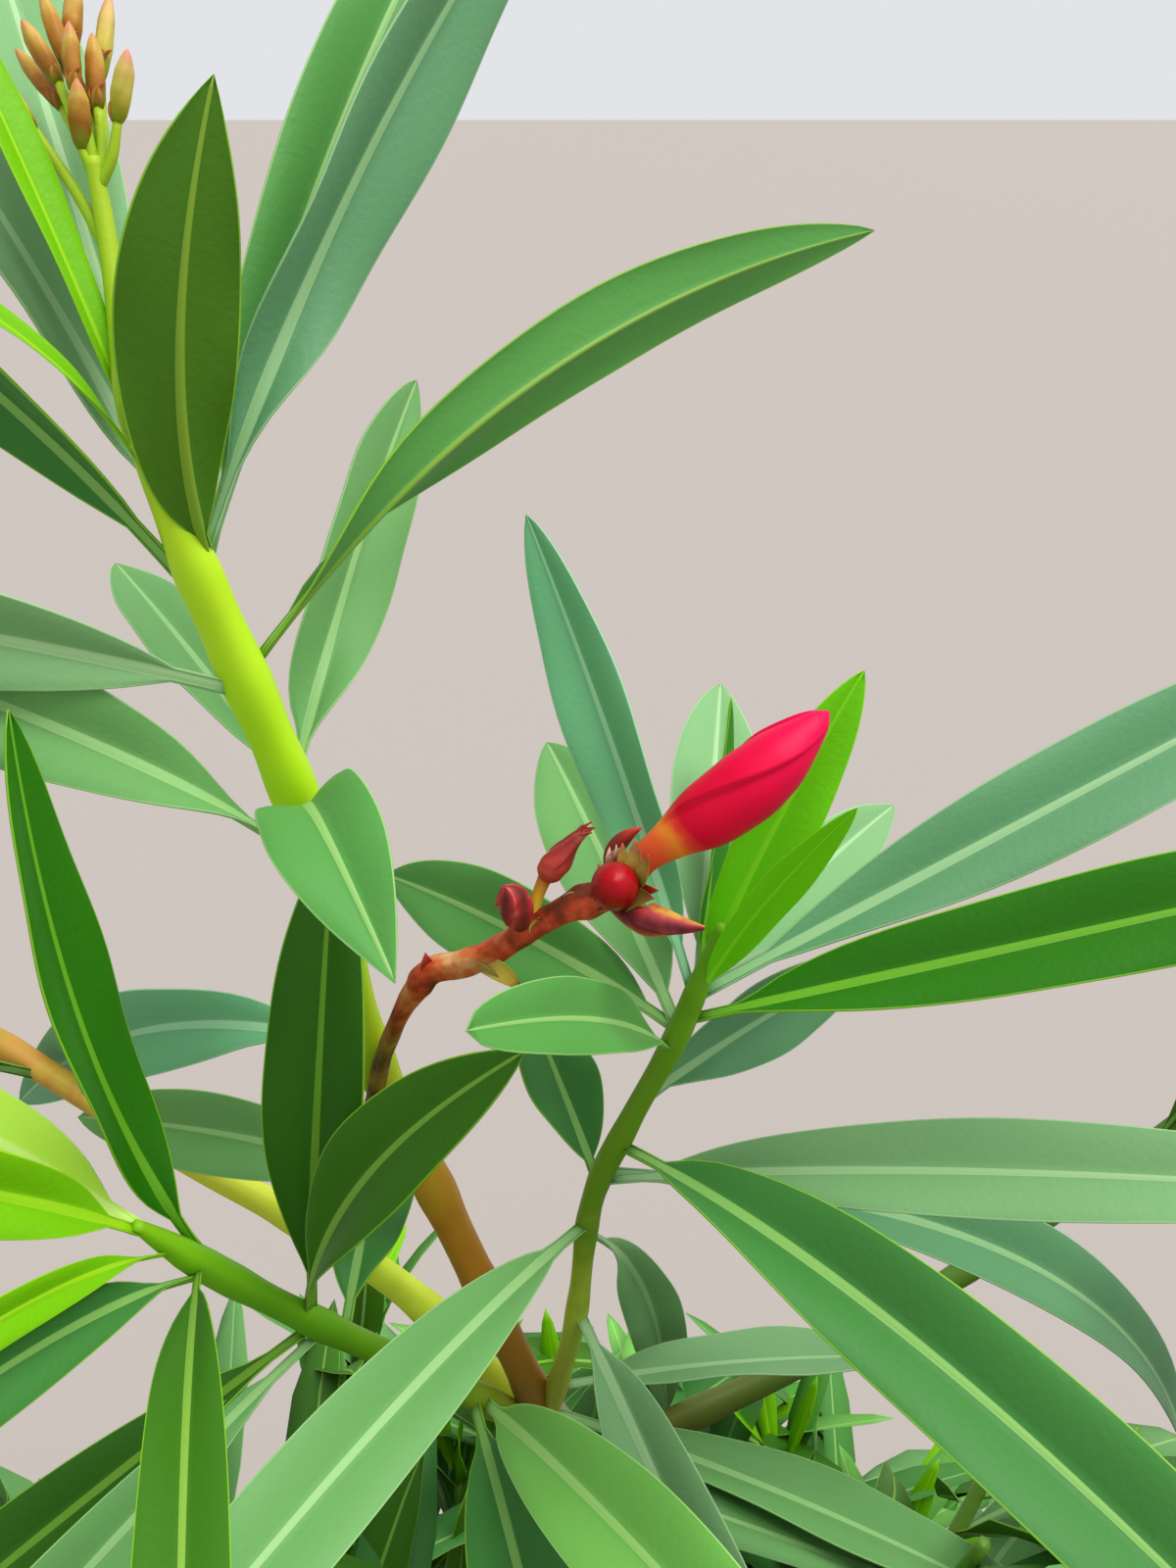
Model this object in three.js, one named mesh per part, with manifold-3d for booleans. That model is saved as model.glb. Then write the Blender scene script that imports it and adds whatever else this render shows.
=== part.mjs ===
// A young oleander in a round clay pot: stem, boughs, masses of leaves, and flower buds on their stalk.
// Millimetres, +Z up. The origin is the centre of the pot's flat underside.
import * as THREE from "three";
import { mergeVertices } from "three/addons/utils/BufferGeometryUtils.js";
import Module from "manifold-3d";

const wasm = await Module();
wasm.setup();

const gap = 0.3; // clearance between pieces that touch
const weld = 1e-3; // vertices nearer than this are one

const pot = {
  height: 225,
  footRadius: 86,
  neckRadius: 118, // just under the rim
  rimRadius: 130,
  rimHeight: 44,
  wall: 9,
  floor: 14,
  edge: 3, // chamfer on the rim and the foot
  sides: 32,
  drains: { count: 3, radius: 7, circle: 42, sides: 12 },
};

const soil = { top: 200, sides: 32 };

const trunk = {
  foot: [4, 3],
  buried: 12, // how far the limb is drawn below the soil before its foot is cut flat
  fork: [1, -4, 582],
  bow: [6, 6, 0],
  radius: [8.5, 5.5],
  flare: { extra: 6, share: 0.07 }, // the root flare's extra radius, and its share of the height
  sides: 10,
  steps: 14,
};

// station is the share of the stem's height where a bough leaves it, tip its end, bow how far its
// middle bends away from the straight line, and radius its size at the foot and at the tip.
const boughs = {
  left: { station: 1, tip: [-49, -5, 795], bow: [12, -3, 0], radius: [4.2, 3.2] },
  right: { station: 1, tip: [30, -16, 722], bow: [-1, -2, 0], radius: [3.8, 2.2] },
  near: { station: 0.99, tip: [-62, -44, 690], bow: [-4, 4, -6], radius: [4, 2.6] },
  far_left: { station: 0.98, tip: [-150, 50, 655], bow: [0, 0, 2], radius: [3.8, 2.4] },
  far_right: { station: 0.95, tip: [165, 62, 625], bow: [10, 4, -14], radius: [3.8, 2.4] },
  low_right: { station: 0.78, tip: [150, -30, 560], bow: [12, 0, -18], radius: [4, 2.6] },
  low_front: { station: 0.8, tip: [38, -140, 600], bow: [2, -16, -18], radius: [4, 2.6] },
  low_front_left: { station: 0.66, tip: [-105, -115, 545], bow: [-12, -12, -18], radius: [4.2, 2.6] },
  low_left: { station: 0.58, tip: [-155, 10, 500], bow: [-14, 0, -18], radius: [4.2, 2.6] },
  low_back_left: { station: 0.42, tip: [-90, 115, 400], bow: [-10, 12, -14], radius: [4.4, 2.6] },
  low_back: { station: 0.5, tip: [30, 130, 415], bow: [2, 14, -14], radius: [4.4, 2.6] },
  low_back_right: { station: 0.36, tip: [128, 90, 400], bow: [12, 8, -16], radius: [4.4, 2.6] },
  low_front_right: { station: 0.5, tip: [112, -105, 455], bow: [10, -10, -16], radius: [4.4, 2.6] },
};

const flowerStalk = { foot: [-24, -8, 683], tip: [10, -24, 733], bow: [-10, -6, 16], radius: [2.2, 2.2] };

// heart is the share of the bough where its leaves spread from, and core the radius that is leafy
// all round. Each tip is a leaf or a pair: compass and rise in degrees, and reach from the heart.
const shapedMasses = {
  right: {
    heart: 0.86,
    core: 30,
    tips: [[119, 52, 86], [3, 70, 64], [90, 18, 77], [8, 22, 136], [-122, 35, 66], [136, -6, 78],
      [-8, -15, 121], [-10, -41, 149], [-46, -23, 141], [-129, -21, 138], [-77, -44, 130]],
  },
  left: {
    heart: 0.86,
    core: 36,
    tips: [[22, 84, 67], [66, 46, 149], [39, 19, 137], [-170, 45, 119], [-150, 24, 100],
      [-62, -21, 67], [130, 46, 120], [148, 65, 98], [77, 14, 80]],
  },
  near: {
    heart: 0.86,
    core: 30,
    tips: [[133, 83, 92], [-155, 62, 106], [-112, 24, 93], [-73, 2, 112], [30, 42, 70],
      [-140, -15, 101], [-111, -21, 98], [-28, -17, 142], [-50, -38, 139]],
  },
};

// The other masses spread evenly round the ends of their boughs, each to its own reach.
const evenMasses = {
  far_left: { heart: 0.96, core: 38, tips: 9, reach: 112 },
  far_right: { heart: 0.98, core: 38, tips: 9, reach: 112 },
  low_right: { heart: 0.92, core: 42, tips: 9, reach: 118 },
  low_front: { heart: 0.9, core: 42, tips: 9, reach: 112 },
  low_front_left: { heart: 0.9, core: 44, tips: 9, reach: 118 },
  low_left: { heart: 0.9, core: 44, tips: 10, reach: 120 },
  low_back_left: { heart: 0.88, core: 42, tips: 9, reach: 112 },
  low_back: { heart: 0.86, core: 42, tips: 9, reach: 110 },
  low_back_right: { heart: 0.88, core: 42, tips: 9, reach: 116 },
  low_front_right: { heart: 0.88, core: 44, tips: 10, reach: 120 },
};

const buds = {
  flower_buds: { heart: [20, -22, 738], core: 11, tips: [[16, 40, 36], [-176, -14, 34], [-110, -20, 17]] },
  top_buds: { heart: [-55, 10, 834], core: 13, tips: [[100, 75, 34], [-150, 58, 32], [50, 55, 30]] },
};

// An even mass's tips spiral out from the bough's heading. Angles are in degrees.
const spiral = { turn: 137.5, turnPerBough: 60, firstLean: 18, lastLean: 96, shortest: 0.88 };

const lobe = { leaf: 20, even: 24, bud: 34 }; // degrees across which a tip swells its mass
const lobeBluntness = 3; // a higher power makes a flatter end
const ripple = { depth: 0.07, waves: [4, 5, 3] }; // the core's unevenness
const boughShape = { sides: 6, steps: 8 };
const ballDetail = { shaped: 4, even: 3, bud: 2 };

const colours = {
  clay: new THREE.MeshStandardMaterial({ color: 0xb5663f, roughness: 0.9, metalness: 0 }),
  earth: new THREE.MeshStandardMaterial({ color: 0x3d2b1f, roughness: 1, metalness: 0 }),
  bark: new THREE.MeshStandardMaterial({ color: 0x8a8a52, roughness: 0.8, metalness: 0 }),
  greenShoot: new THREE.MeshStandardMaterial({ color: 0x8fa83a, roughness: 0.55, metalness: 0 }),
  redStalk: new THREE.MeshStandardMaterial({ color: 0x8c3a22, roughness: 0.55, metalness: 0 }),
  leaf: new THREE.MeshStandardMaterial({ color: 0x3f8a3a, roughness: 0.5, metalness: 0 }),
  bud: new THREE.MeshStandardMaterial({ color: 0xd0202c, roughness: 0.5, metalness: 0 }),
  youngBud: new THREE.MeshStandardMaterial({ color: 0xe0a640, roughness: 0.5, metalness: 0 }),
};

// A three.js geometry as a closed solid that can be cut and joined.
function solidOf(geometry) {
  const bare = geometry.index ? geometry.toNonIndexed() : geometry.clone();
  bare.deleteAttribute("normal");
  bare.deleteAttribute("uv");
  const merged = mergeVertices(bare, weld);
  return new wasm.Manifold(new wasm.Mesh({
    numProp: 3,
    vertProperties: new Float32Array(merged.attributes.position.array),
    triVerts: new Uint32Array(merged.index.array),
  }));
}

// A solid as a named mesh in the part.
function meshOf(solid, name, colour) {
  const { numProp, vertProperties, triVerts } = solid.getMesh();
  const geometry = new THREE.BufferGeometry();
  geometry.setAttribute("position", new THREE.BufferAttribute(vertProperties, numProp));
  geometry.setIndex(new THREE.BufferAttribute(triVerts, 1));
  geometry.computeVertexNormals();
  const mesh = new THREE.Mesh(geometry, colour);
  mesh.name = name;
  return mesh;
}

// Cuts the others away, and keeps the largest piece of what is left.
function trimmed(solid, others) {
  const left = others.reduce((rest, other) => rest.subtract(other), solid);
  const pieces = left.decompose();
  return pieces.reduce((largest, piece) => (piece.volume() > largest.volume() ? piece : largest));
}

// A turned shape about +Z from a profile of [radius, height] points.
function turned(profile, sides) {
  const points = profile.map(([radius, height]) => new THREE.Vector2(radius, height));
  return solidOf(new THREE.LatheGeometry(points, sides).rotateX(Math.PI / 2));
}

// The radius of the pot's outside wall at a height.
function potRadius(height) {
  const neckHeight = pot.height - pot.rimHeight;
  return pot.footRadius + (pot.neckRadius - pot.footRadius) * (height / neckHeight);
}

function makePot() {
  const { height, footRadius, neckRadius, rimRadius, rimHeight, wall, floor, edge, drains } = pot;
  const neckHeight = height - rimHeight;
  const mouthRadius = rimRadius - wall - edge;
  const body = turned([
    [0, 0],
    [footRadius - edge, 0],
    [footRadius, edge],
    [neckRadius, neckHeight],
    [rimRadius - edge, neckHeight + edge],
    [rimRadius, height - edge],
    [rimRadius - edge, height],
    [mouthRadius, height],
    [neckRadius - wall, neckHeight],
    [potRadius(floor) - wall, floor],
    [0, floor],
  ], pot.sides);
  const holes = Array.from({ length: drains.count }, (_, i) => {
    const angle = (i / drains.count) * 2 * Math.PI;
    const hole = new THREE.CylinderGeometry(drains.radius, drains.radius, floor * 3, drains.sides);
    hole.rotateX(Math.PI / 2);
    hole.translate(drains.circle * Math.cos(angle), drains.circle * Math.sin(angle), 0);
    return solidOf(hole);
  });
  return trimmed(body, holes);
}

function makeSoil() {
  const neckHeight = pot.height - pot.rimHeight;
  const inset = pot.wall + gap;
  const mouthRadius = pot.rimRadius - pot.wall - pot.edge;
  const rimShare = (soil.top - neckHeight) / pot.rimHeight;
  const topRadius = pot.neckRadius - pot.wall + (mouthRadius - pot.neckRadius + pot.wall) * rimShare - gap;
  return turned([
    [0, pot.floor + gap],
    [potRadius(pot.floor) - inset, pot.floor + gap],
    [pot.neckRadius - inset, neckHeight],
    [topRadius, soil.top],
    [0, soil.top],
  ], soil.sides);
}

function curveOf(foot, tip, bow) {
  const start = new THREE.Vector3(...foot);
  const end = new THREE.Vector3(...tip);
  const middle = start.clone().lerp(end, 0.5).add(new THREE.Vector3(...bow));
  return new THREE.QuadraticBezierCurve3(start, middle, end);
}

// A limb along a curve: an upright cylinder whose rings are moved onto the curve and given its radius.
function limbOf(curve, radiusAt, sides, steps) {
  const upright = new THREE.CylinderGeometry(1, 1, 1, sides, steps);
  const frames = curve.computeFrenetFrames(steps);
  const position = upright.getAttribute("position");
  const point = new THREE.Vector3();
  for (let i = 0; i < position.count; i++) {
    const share = position.getY(i) + 0.5;
    const ring = Math.round(share * steps);
    const radius = radiusAt(share);
    point.copy(curve.getPointAt(share));
    point.addScaledVector(frames.normals[ring], radius * position.getX(i));
    point.addScaledVector(frames.binormals[ring], -radius * position.getZ(i));
    position.setXYZ(i, point.x, point.y, point.z);
  }
  return solidOf(upright);
}

function taper([foot, tip], extra = 0) {
  return (share) => foot + (tip - foot) * share + extra;
}

const trunkCurve = curveOf([...trunk.foot, soil.top - trunk.buried], trunk.fork, trunk.bow);

// The stem, cut flat where it stands on the soil.
function makeTrunk(extra) {
  const plain = taper(trunk.radius, extra);
  const { extra: flare, share: flareShare } = trunk.flare;
  const radiusAt = (share) => plain(share) + flare * Math.exp(-share / flareShare);
  const below = new THREE.BoxGeometry(pot.rimRadius, pot.rimRadius, pot.height);
  below.translate(0, 0, soil.top + gap - pot.height / 2);
  return limbOf(trunkCurve, radiusAt, trunk.sides, trunk.steps).subtract(solidOf(below));
}

function boughCurve({ station, tip, bow }) {
  return curveOf(trunkCurve.getPointAt(station).toArray(), tip, bow);
}

function makeLimb(curve, radius, extra) {
  return limbOf(curve, taper(radius, extra), boughShape.sides, boughShape.steps);
}

// A direction from a compass angle, counted from +X towards +Y, and a rise above level.
function direction(compass, rise) {
  const polar = THREE.MathUtils.degToRad(90 - rise);
  const turn = THREE.MathUtils.degToRad(compass);
  const level = Math.sin(polar);
  return new THREE.Vector3(level * Math.cos(turn), level * Math.sin(turn), Math.cos(polar));
}

// An uneven ball: a core that swells out to each tip.
function massOf(heart, core, tips, { lobeAngle, detail, seed, extra = 0 }) {
  const ball = new THREE.IcosahedronGeometry(1, detail);
  const width = THREE.MathUtils.degToRad(lobeAngle);
  const [wavesX, wavesY, wavesZ] = ripple.waves;
  const position = ball.getAttribute("position");
  const way = new THREE.Vector3();
  for (let i = 0; i < position.count; i++) {
    way.fromBufferAttribute(position, i).normalize();
    const level = Math.sin(wavesX * way.x + seed) * Math.sin(wavesY * way.y - seed);
    const wave = level + Math.sin(wavesZ * way.z + 2 * seed);
    const swell = tips.map(({ way: tipWay, reach }) => {
      const off = way.angleTo(tipWay) / width;
      return (reach - core) * Math.exp(-(off ** lobeBluntness));
    });
    const radius = core * (1 + ripple.depth * wave) + Math.max(...swell) + extra;
    way.multiplyScalar(radius).add(heart);
    position.setXYZ(i, way.x, way.y, way.z);
  }
  return solidOf(ball);
}

function statedTips(tips) {
  return tips.map(([compass, rise, reach]) => ({ way: direction(compass, rise), reach }));
}

// Tips in a spiral round the bough's heading, from nearly straight on to well out to the side.
function spiralTips(heading, count, reach, seed) {
  const side = new THREE.Vector3(-heading.y, heading.x, 0).normalize();
  return Array.from({ length: count }, (_, i) => {
    const lean = THREE.MathUtils.lerp(spiral.firstLean, spiral.lastLean, i / (count - 1));
    const turn = spiral.turn * i + spiral.turnPerBough * seed;
    const way = heading.clone().applyAxisAngle(side, THREE.MathUtils.degToRad(lean));
    way.applyAxisAngle(heading, THREE.MathUtils.degToRad(turn));
    const share = THREE.MathUtils.lerp(1, spiral.shortest, Math.sin(2 * i + seed) ** 2);
    return { way, reach: reach * share };
  });
}

function boughMass(name, seed, extra) {
  const curve = boughCurve(boughs[name]);
  if (shapedMasses[name]) {
    const { heart, core, tips } = shapedMasses[name];
    const shape = { lobeAngle: lobe.leaf, detail: ballDetail.shaped, seed, extra };
    return massOf(curve.getPoint(heart), core, statedTips(tips), shape);
  }
  const { heart, core, tips, reach } = evenMasses[name];
  const shape = { lobeAngle: lobe.even, detail: ballDetail.even, seed, extra };
  return massOf(curve.getPoint(heart), core, spiralTips(curve.getTangent(1), tips, reach, seed), shape);
}

function budMass(name, seed, extra) {
  const { heart, core, tips } = buds[name];
  const shape = { lobeAngle: lobe.bud, detail: ballDetail.bud, seed, extra };
  return massOf(new THREE.Vector3(...heart), core, statedTips(tips), shape);
}

const plant = new THREE.Group();
plant.name = "potted_oleander";
plant.add(meshOf(makePot(), "pot", colours.clay));
plant.add(meshOf(makeSoil(), "soil", colours.earth));
plant.add(meshOf(makeTrunk(0), "trunk", colours.bark));

// Each limb ends at the one that carries it and where it enters its own mass.
const names = Object.keys(boughs);
const seedOf = (name) => names.indexOf(name) + 1;
const grownTrunk = makeTrunk(gap);
const grownLimbs = {};
names.forEach((name) => {
  const curve = boughCurve(boughs[name]);
  const { radius } = boughs[name];
  const carriers = [grownTrunk, ...Object.values(grownLimbs)];
  const mass = boughMass(name, seedOf(name), gap);
  const limb = trimmed(makeLimb(curve, radius, 0), [...carriers, mass]);
  grownLimbs[name] = makeLimb(curve, radius, gap);
  plant.add(meshOf(limb, "bough_" + name, name.startsWith("low") ? colours.bark : colours.greenShoot));
});

const stalkCurve = curveOf(flowerStalk.foot, flowerStalk.tip, flowerStalk.bow);
const plainStalk = makeLimb(stalkCurve, flowerStalk.radius, 0);
const stalk = trimmed(plainStalk, [grownLimbs.left, budMass("flower_buds", 1, gap)]);
plant.add(meshOf(stalk, "flower_stalk", colours.redStalk));
const grownStalk = makeLimb(stalkCurve, flowerStalk.radius, gap);

const grownBuds = [];
Object.keys(buds).forEach((name, i) => {
  const mass = trimmed(budMass(name, i + 1, 0), Object.values(grownLimbs));
  grownBuds.push(budMass(name, i + 1, gap));
  plant.add(meshOf(mass, name, name.startsWith("top") ? colours.youngBud : colours.bud));
});

// The masses are cut round the other limbs, the buds and the masses before them.
const cutters = [grownTrunk, grownStalk, ...grownBuds];
const massOrder = [...Object.keys(shapedMasses), ...Object.keys(evenMasses)];
massOrder.forEach((name) => {
  const otherLimbs = names.filter((other) => other !== name).map((other) => grownLimbs[other]);
  const mass = trimmed(boughMass(name, seedOf(name), 0), [...cutters, ...otherLimbs]);
  cutters.push(boughMass(name, seedOf(name), gap));
  plant.add(meshOf(mass, "leaves_" + name, colours.leaf));
});

export default plant;
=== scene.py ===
import math
import random

import bmesh
import bpy
import numpy as np
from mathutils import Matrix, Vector, noise


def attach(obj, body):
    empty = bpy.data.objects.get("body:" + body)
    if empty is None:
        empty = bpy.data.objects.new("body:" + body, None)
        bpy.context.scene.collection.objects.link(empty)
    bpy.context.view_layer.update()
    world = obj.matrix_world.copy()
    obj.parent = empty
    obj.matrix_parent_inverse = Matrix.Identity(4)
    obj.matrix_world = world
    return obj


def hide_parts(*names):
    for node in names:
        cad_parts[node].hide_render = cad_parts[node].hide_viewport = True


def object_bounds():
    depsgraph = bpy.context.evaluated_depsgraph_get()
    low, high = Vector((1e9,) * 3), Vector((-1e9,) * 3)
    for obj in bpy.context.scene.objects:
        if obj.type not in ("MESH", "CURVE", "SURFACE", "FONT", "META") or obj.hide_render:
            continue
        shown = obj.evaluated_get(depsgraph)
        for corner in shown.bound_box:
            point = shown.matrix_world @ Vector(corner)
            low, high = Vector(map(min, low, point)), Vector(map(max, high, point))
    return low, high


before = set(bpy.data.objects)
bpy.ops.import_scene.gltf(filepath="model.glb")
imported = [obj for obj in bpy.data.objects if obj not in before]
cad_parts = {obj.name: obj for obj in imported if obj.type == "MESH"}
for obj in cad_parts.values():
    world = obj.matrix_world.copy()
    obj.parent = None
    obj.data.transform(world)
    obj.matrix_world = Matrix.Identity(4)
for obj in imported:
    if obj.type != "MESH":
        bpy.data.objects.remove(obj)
cadBox = [list(map(float, corner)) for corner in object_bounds()]
mm = 0.001
print("frame loaded")


# Camera, at the photograph's viewing angle. Pixels are those of the 1200 x 1600 photograph.
lens = {
    "eye": (0.010, -0.165, 0.830),
    "dip": 29.4,  # degrees below level
    "focal": 28,  # millimetres, on a sensor as long as the photograph is high
    "sensor": 36,
    "photo": (1200, 1600),
    "nearest": 0.01,
}


def makeCamera():
    data = bpy.data.cameras.new("camera")
    data.lens = lens["focal"]
    data.sensor_width = lens["sensor"]
    data.clip_start = lens["nearest"]
    data.clip_end = 50
    camera = bpy.data.objects.new("camera", data)
    camera.location = lens["eye"]
    camera.rotation_euler = (math.radians(90 - lens["dip"]), 0, 0)
    bpy.context.collection.objects.link(camera)
    bpy.context.scene.camera = camera


def viewAxes():
    dip = math.radians(lens["dip"])
    ahead = np.array((0, math.cos(dip), -math.sin(dip)))
    above = np.array((0, math.sin(dip), math.cos(dip)))
    return np.array((1.0, 0, 0)), above, ahead


def photoSpot(pixel, reach):  # the point that a pixel shows, reach metres in front of the lens
    right, above, ahead = viewAxes()
    wide, high = lens["photo"]
    scale = reach * lens["sensor"] / lens["focal"] / high
    aside = right * (pixel[0] - wide / 2) * scale
    return np.array(lens["eye"]) + ahead * reach + aside + above * (high / 2 - pixel[1]) * scale


def spots(path):
    return [photoSpot(pixel, reach) for pixel, reach in path]


def photoPixel(point):  # where a point shows in the photograph, and how far in front of the lens it is
    right, above, ahead = viewAxes()
    wide, high = lens["photo"]
    way = point - np.array(lens["eye"])
    reach = way @ ahead
    scale = lens["focal"] / lens["sensor"] * high / reach
    return wide / 2 + way @ right * scale, high / 2 - way @ above * scale, reach


makeCamera()
print("camera placed")


# Small helpers
def unit(way):
    way = np.asarray(way, float)
    return way / np.maximum(np.linalg.norm(way, axis=-1, keepdims=True), 1e-9)


def smooth(share):
    share = np.clip(share, 0, 1)
    return share * share * (3 - 2 * share)


def readRows(t, table, rows):
    return np.stack([np.interp(t, table, rows[:, k]) for k in range(3)], axis=-1)


def turned(way, axis, degrees):  # way turned about axis
    angle = math.radians(degrees)
    axis = unit(axis)
    across = np.cross(axis, way)
    return way * math.cos(angle) + across * math.sin(angle) + axis * (axis @ way) * (1 - math.cos(angle))


def sidewaysOf(way):  # any direction square to way
    start = np.array((0, 0, 1.0)) if abs(way[2]) < 0.9 else np.array((1.0, 0, 0))
    return unit(np.cross(start, way))


def towardLens(point, ahead):  # the direction square to ahead that looks most at the lens
    look = np.array(lens["eye"]) - point
    return unit(look - ahead * (look @ ahead))


class Limb:  # a curve through points, with a radius that changes from foot to tip
    def __init__(self, points, radii):
        self.points = np.asarray(points, float)
        steps = np.linalg.norm(np.diff(self.points, axis=0), axis=1)
        self.length = steps.sum()
        self.shares = np.concatenate(([0], np.cumsum(steps) / self.length))
        self.radii = np.asarray(radii, float)
        self.ways = unit(np.gradient(self.points, axis=0))
        sides = [sidewaysOf(self.ways[0])]
        for way in self.ways[1:]:  # each side is the last one, carried along without twist
            sides.append(unit(sides[-1] - way * (sides[-1] @ way)))
        self.sides = np.array(sides)

    def at(self, share):
        return readRows(share, self.shares, self.points)

    def heading(self, share):
        return unit(readRows(share, self.shares, self.ways))

    def side(self, share):
        return unit(readRows(share, self.shares, self.sides))

    def radius(self, share):
        return np.interp(share, np.linspace(0, 1, len(self.radii)), self.radii)


def bowedLimb(foot, tip, bow, radii):  # sizes in millimetres, except that foot is in metres
    foot = np.asarray(foot, float)
    tip = np.array(tip) * mm
    middle = (foot + tip) / 2 + np.array(bow) * mm
    t = np.linspace(0, 1, 33)[:, None]
    return Limb((1 - t) ** 2 * foot + 2 * t * (1 - t) * middle + t * t * tip, np.array(radii) * mm)


def splineLimb(points, radii):  # a smooth curve through all the points, radii in metres
    points = np.asarray(points, float)
    ends = np.vstack((2 * points[0] - points[1], points, 2 * points[-1] - points[-2]))
    t = np.linspace(0, 1, 9)[:-1, None]
    runs = []
    for a, b, c, d in zip(ends, ends[1:], ends[2:], ends[3:]):
        square = 2 * a - 5 * b + 4 * c - d
        runs.append(0.5 * (2 * b + (c - a) * t + square * t**2 + (3 * b - a - 3 * c + d) * t**3))
    return Limb(np.vstack(runs + [points[-1:]]), radii)


# Blanks: a tube and a leaf blade, made once for each fineness, then bent into every piece.
blanks = {}


def climbOf(edge):
    return abs(edge.verts[0].co.z - edge.verts[1].co.z)


def coordinatesOf(mesh):
    flat = np.empty(len(mesh.vertices) * 3)
    mesh.vertices.foreach_get("co", flat)
    return flat.reshape(-1, 3)


def keepBlank(key, bm):
    blanks[key] = bpy.data.meshes.new("blank")
    bm.to_mesh(blanks[key])
    bm.free()
    return blanks[key]


def blankTube(sides, rings):  # its texture coordinates are the turn round it and the share of its length
    key = ("tube", sides, rings)
    if key in blanks:
        return blanks[key]
    bm = bmesh.new()
    bmesh.ops.create_cone(bm, cap_ends=True, segments=sides, radius1=1, radius2=1, depth=1)
    uprights = [edge for edge in bm.edges if climbOf(edge) > 0.5]
    bmesh.ops.subdivide_edges(bm, edges=uprights, cuts=rings - 1, use_grid_fill=True)
    layer = bm.loops.layers.uv.new("place")
    for face in bm.faces:
        face.smooth = True
        turns = [math.atan2(loop.vert.co.y, loop.vert.co.x) / math.tau for loop in face.loops]
        wraps = len(turns) == 4 and max(turns) - min(turns) > 0.5
        for loop, turn in zip(face.loops, turns):
            loop[layer].uv = (turn + 1 if wraps and turn < 0 else turn, loop.vert.co.z + 0.5)
    return keepBlank(key, bm)


# A blade's bands, from its rib at 0 to its edge at 1. A blank's vertices have their band as x, the share
# of the length as y, and 0 or 1 for the under and upper side as z.
bladeBands = {
    "rib": 0.1,
    "margin": 0.97,
    "fineAcross": (0, 0.05, 0.1, 0.22, 0.4, 0.6, 0.8, 0.97, 1),
    "fineAlong": [k / 34 for k in range(35)],
    "plainAcross": (0.1, 1),
    "plainAlong": (0, 0.06, 0.24, 0.46, 0.7, 0.9, 1),
    "bractAcross": (0, 0.25, 0.5, 0.75, 1),
    "bractAlong": [k / 12 for k in range(13)],
}


def blankBlade(kind):
    if kind in blanks:
        return blanks[kind]
    across = sorted({sign * band for band in bladeBands[kind + "Across"] for sign in (-1, 1)})
    along = bladeBands[kind + "Along"]
    bm = bmesh.new()
    bmesh.ops.create_grid(bm, x_segments=len(across) - 1, y_segments=len(along) - 1, size=1)
    for vert in bm.verts:
        column = round((vert.co.x + 1) / 2 * (len(across) - 1))
        row = round((vert.co.y + 1) / 2 * (len(along) - 1))
        vert.co = (across[column], along[row], 0)
    bmesh.ops.solidify(bm, geom=bm.faces[:], thickness=1)
    highest = max(vert.co.z for vert in bm.verts)
    for vert in bm.verts:
        vert.co.z += 1 - highest
    bmesh.ops.recalc_face_normals(bm, faces=bm.faces[:])
    layer = bm.loops.layers.uv.new("place")
    for face in bm.faces:
        face.smooth = True
        middle = face.calc_center_median()
        if 0.1 < middle.z < 0.9 or abs(middle.x) > bladeBands["margin"]:
            face.material_index = 2
        elif abs(middle.x) < bladeBands["rib"]:
            face.material_index = 1
        else:
            face.material_index = 0 if middle.z > 0.5 else 3
        for loop in face.loops:
            loop[layer].uv = (loop.vert.co.x, loop.vert.co.y)
    return keepBlank(kind, bm)


def seatedFoot(limb, share, way):  # on the limb's surface, on the side that a leaf grows to
    heading = limb.heading(share)
    out = unit(way - heading * (way @ heading))
    return limb.at(share) + out * limb.radius(share) * 0.7


def objectOf(name, bm):
    mesh = bpy.data.meshes.new(name)
    bm.to_mesh(mesh)
    bm.free()
    made = bpy.data.objects.new(name, mesh)
    bpy.context.collection.objects.link(made)
    return made


class Piece:  # many bent blanks joined into one object
    def __init__(self, name):
        self.name = name
        self.bm = bmesh.new()
        self.materials = []

    def slotOf(self, material):
        if material not in self.materials:
            self.materials.append(material)
        return self.materials.index(material)

    def add(self, blank, places, *materials):
        mesh = blank.copy()
        mesh.vertices.foreach_set("co", np.asarray(places, float).ravel())
        slots = np.array([self.slotOf(material) for material in materials])
        which = np.empty(len(mesh.polygons), int)
        mesh.polygons.foreach_get("material_index", which)
        mesh.polygons.foreach_set("material_index", slots[np.minimum(which, len(slots) - 1)])
        self.bm.from_mesh(mesh)
        bpy.data.meshes.remove(mesh)

    def finish(self, recordSlot, *nodes):
        piece = objectOf(self.name, self.bm)
        for material in self.materials:
            piece.data.materials.append(material)
        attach(piece, "root")
        if nodes:
            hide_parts(*nodes)


def addTube(piece, limb, material, sides, rings, radiusAt=None, turnAt=None):
    blank = blankTube(sides, rings)
    x, y, z = coordinatesOf(blank).T
    share = z + 0.5
    angle = np.arctan2(y, x)
    radius = limb.radius(share) if radiusAt is None else radiusAt(share, angle)
    if turnAt is not None:
        angle = turnAt(share, angle)
    side = limb.side(share)
    other = np.cross(limb.heading(share), side)
    spoke = side * np.cos(angle)[:, None] + other * np.sin(angle)[:, None]
    piece.add(blank, limb.at(share) + spoke * radius[:, None], material)


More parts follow.
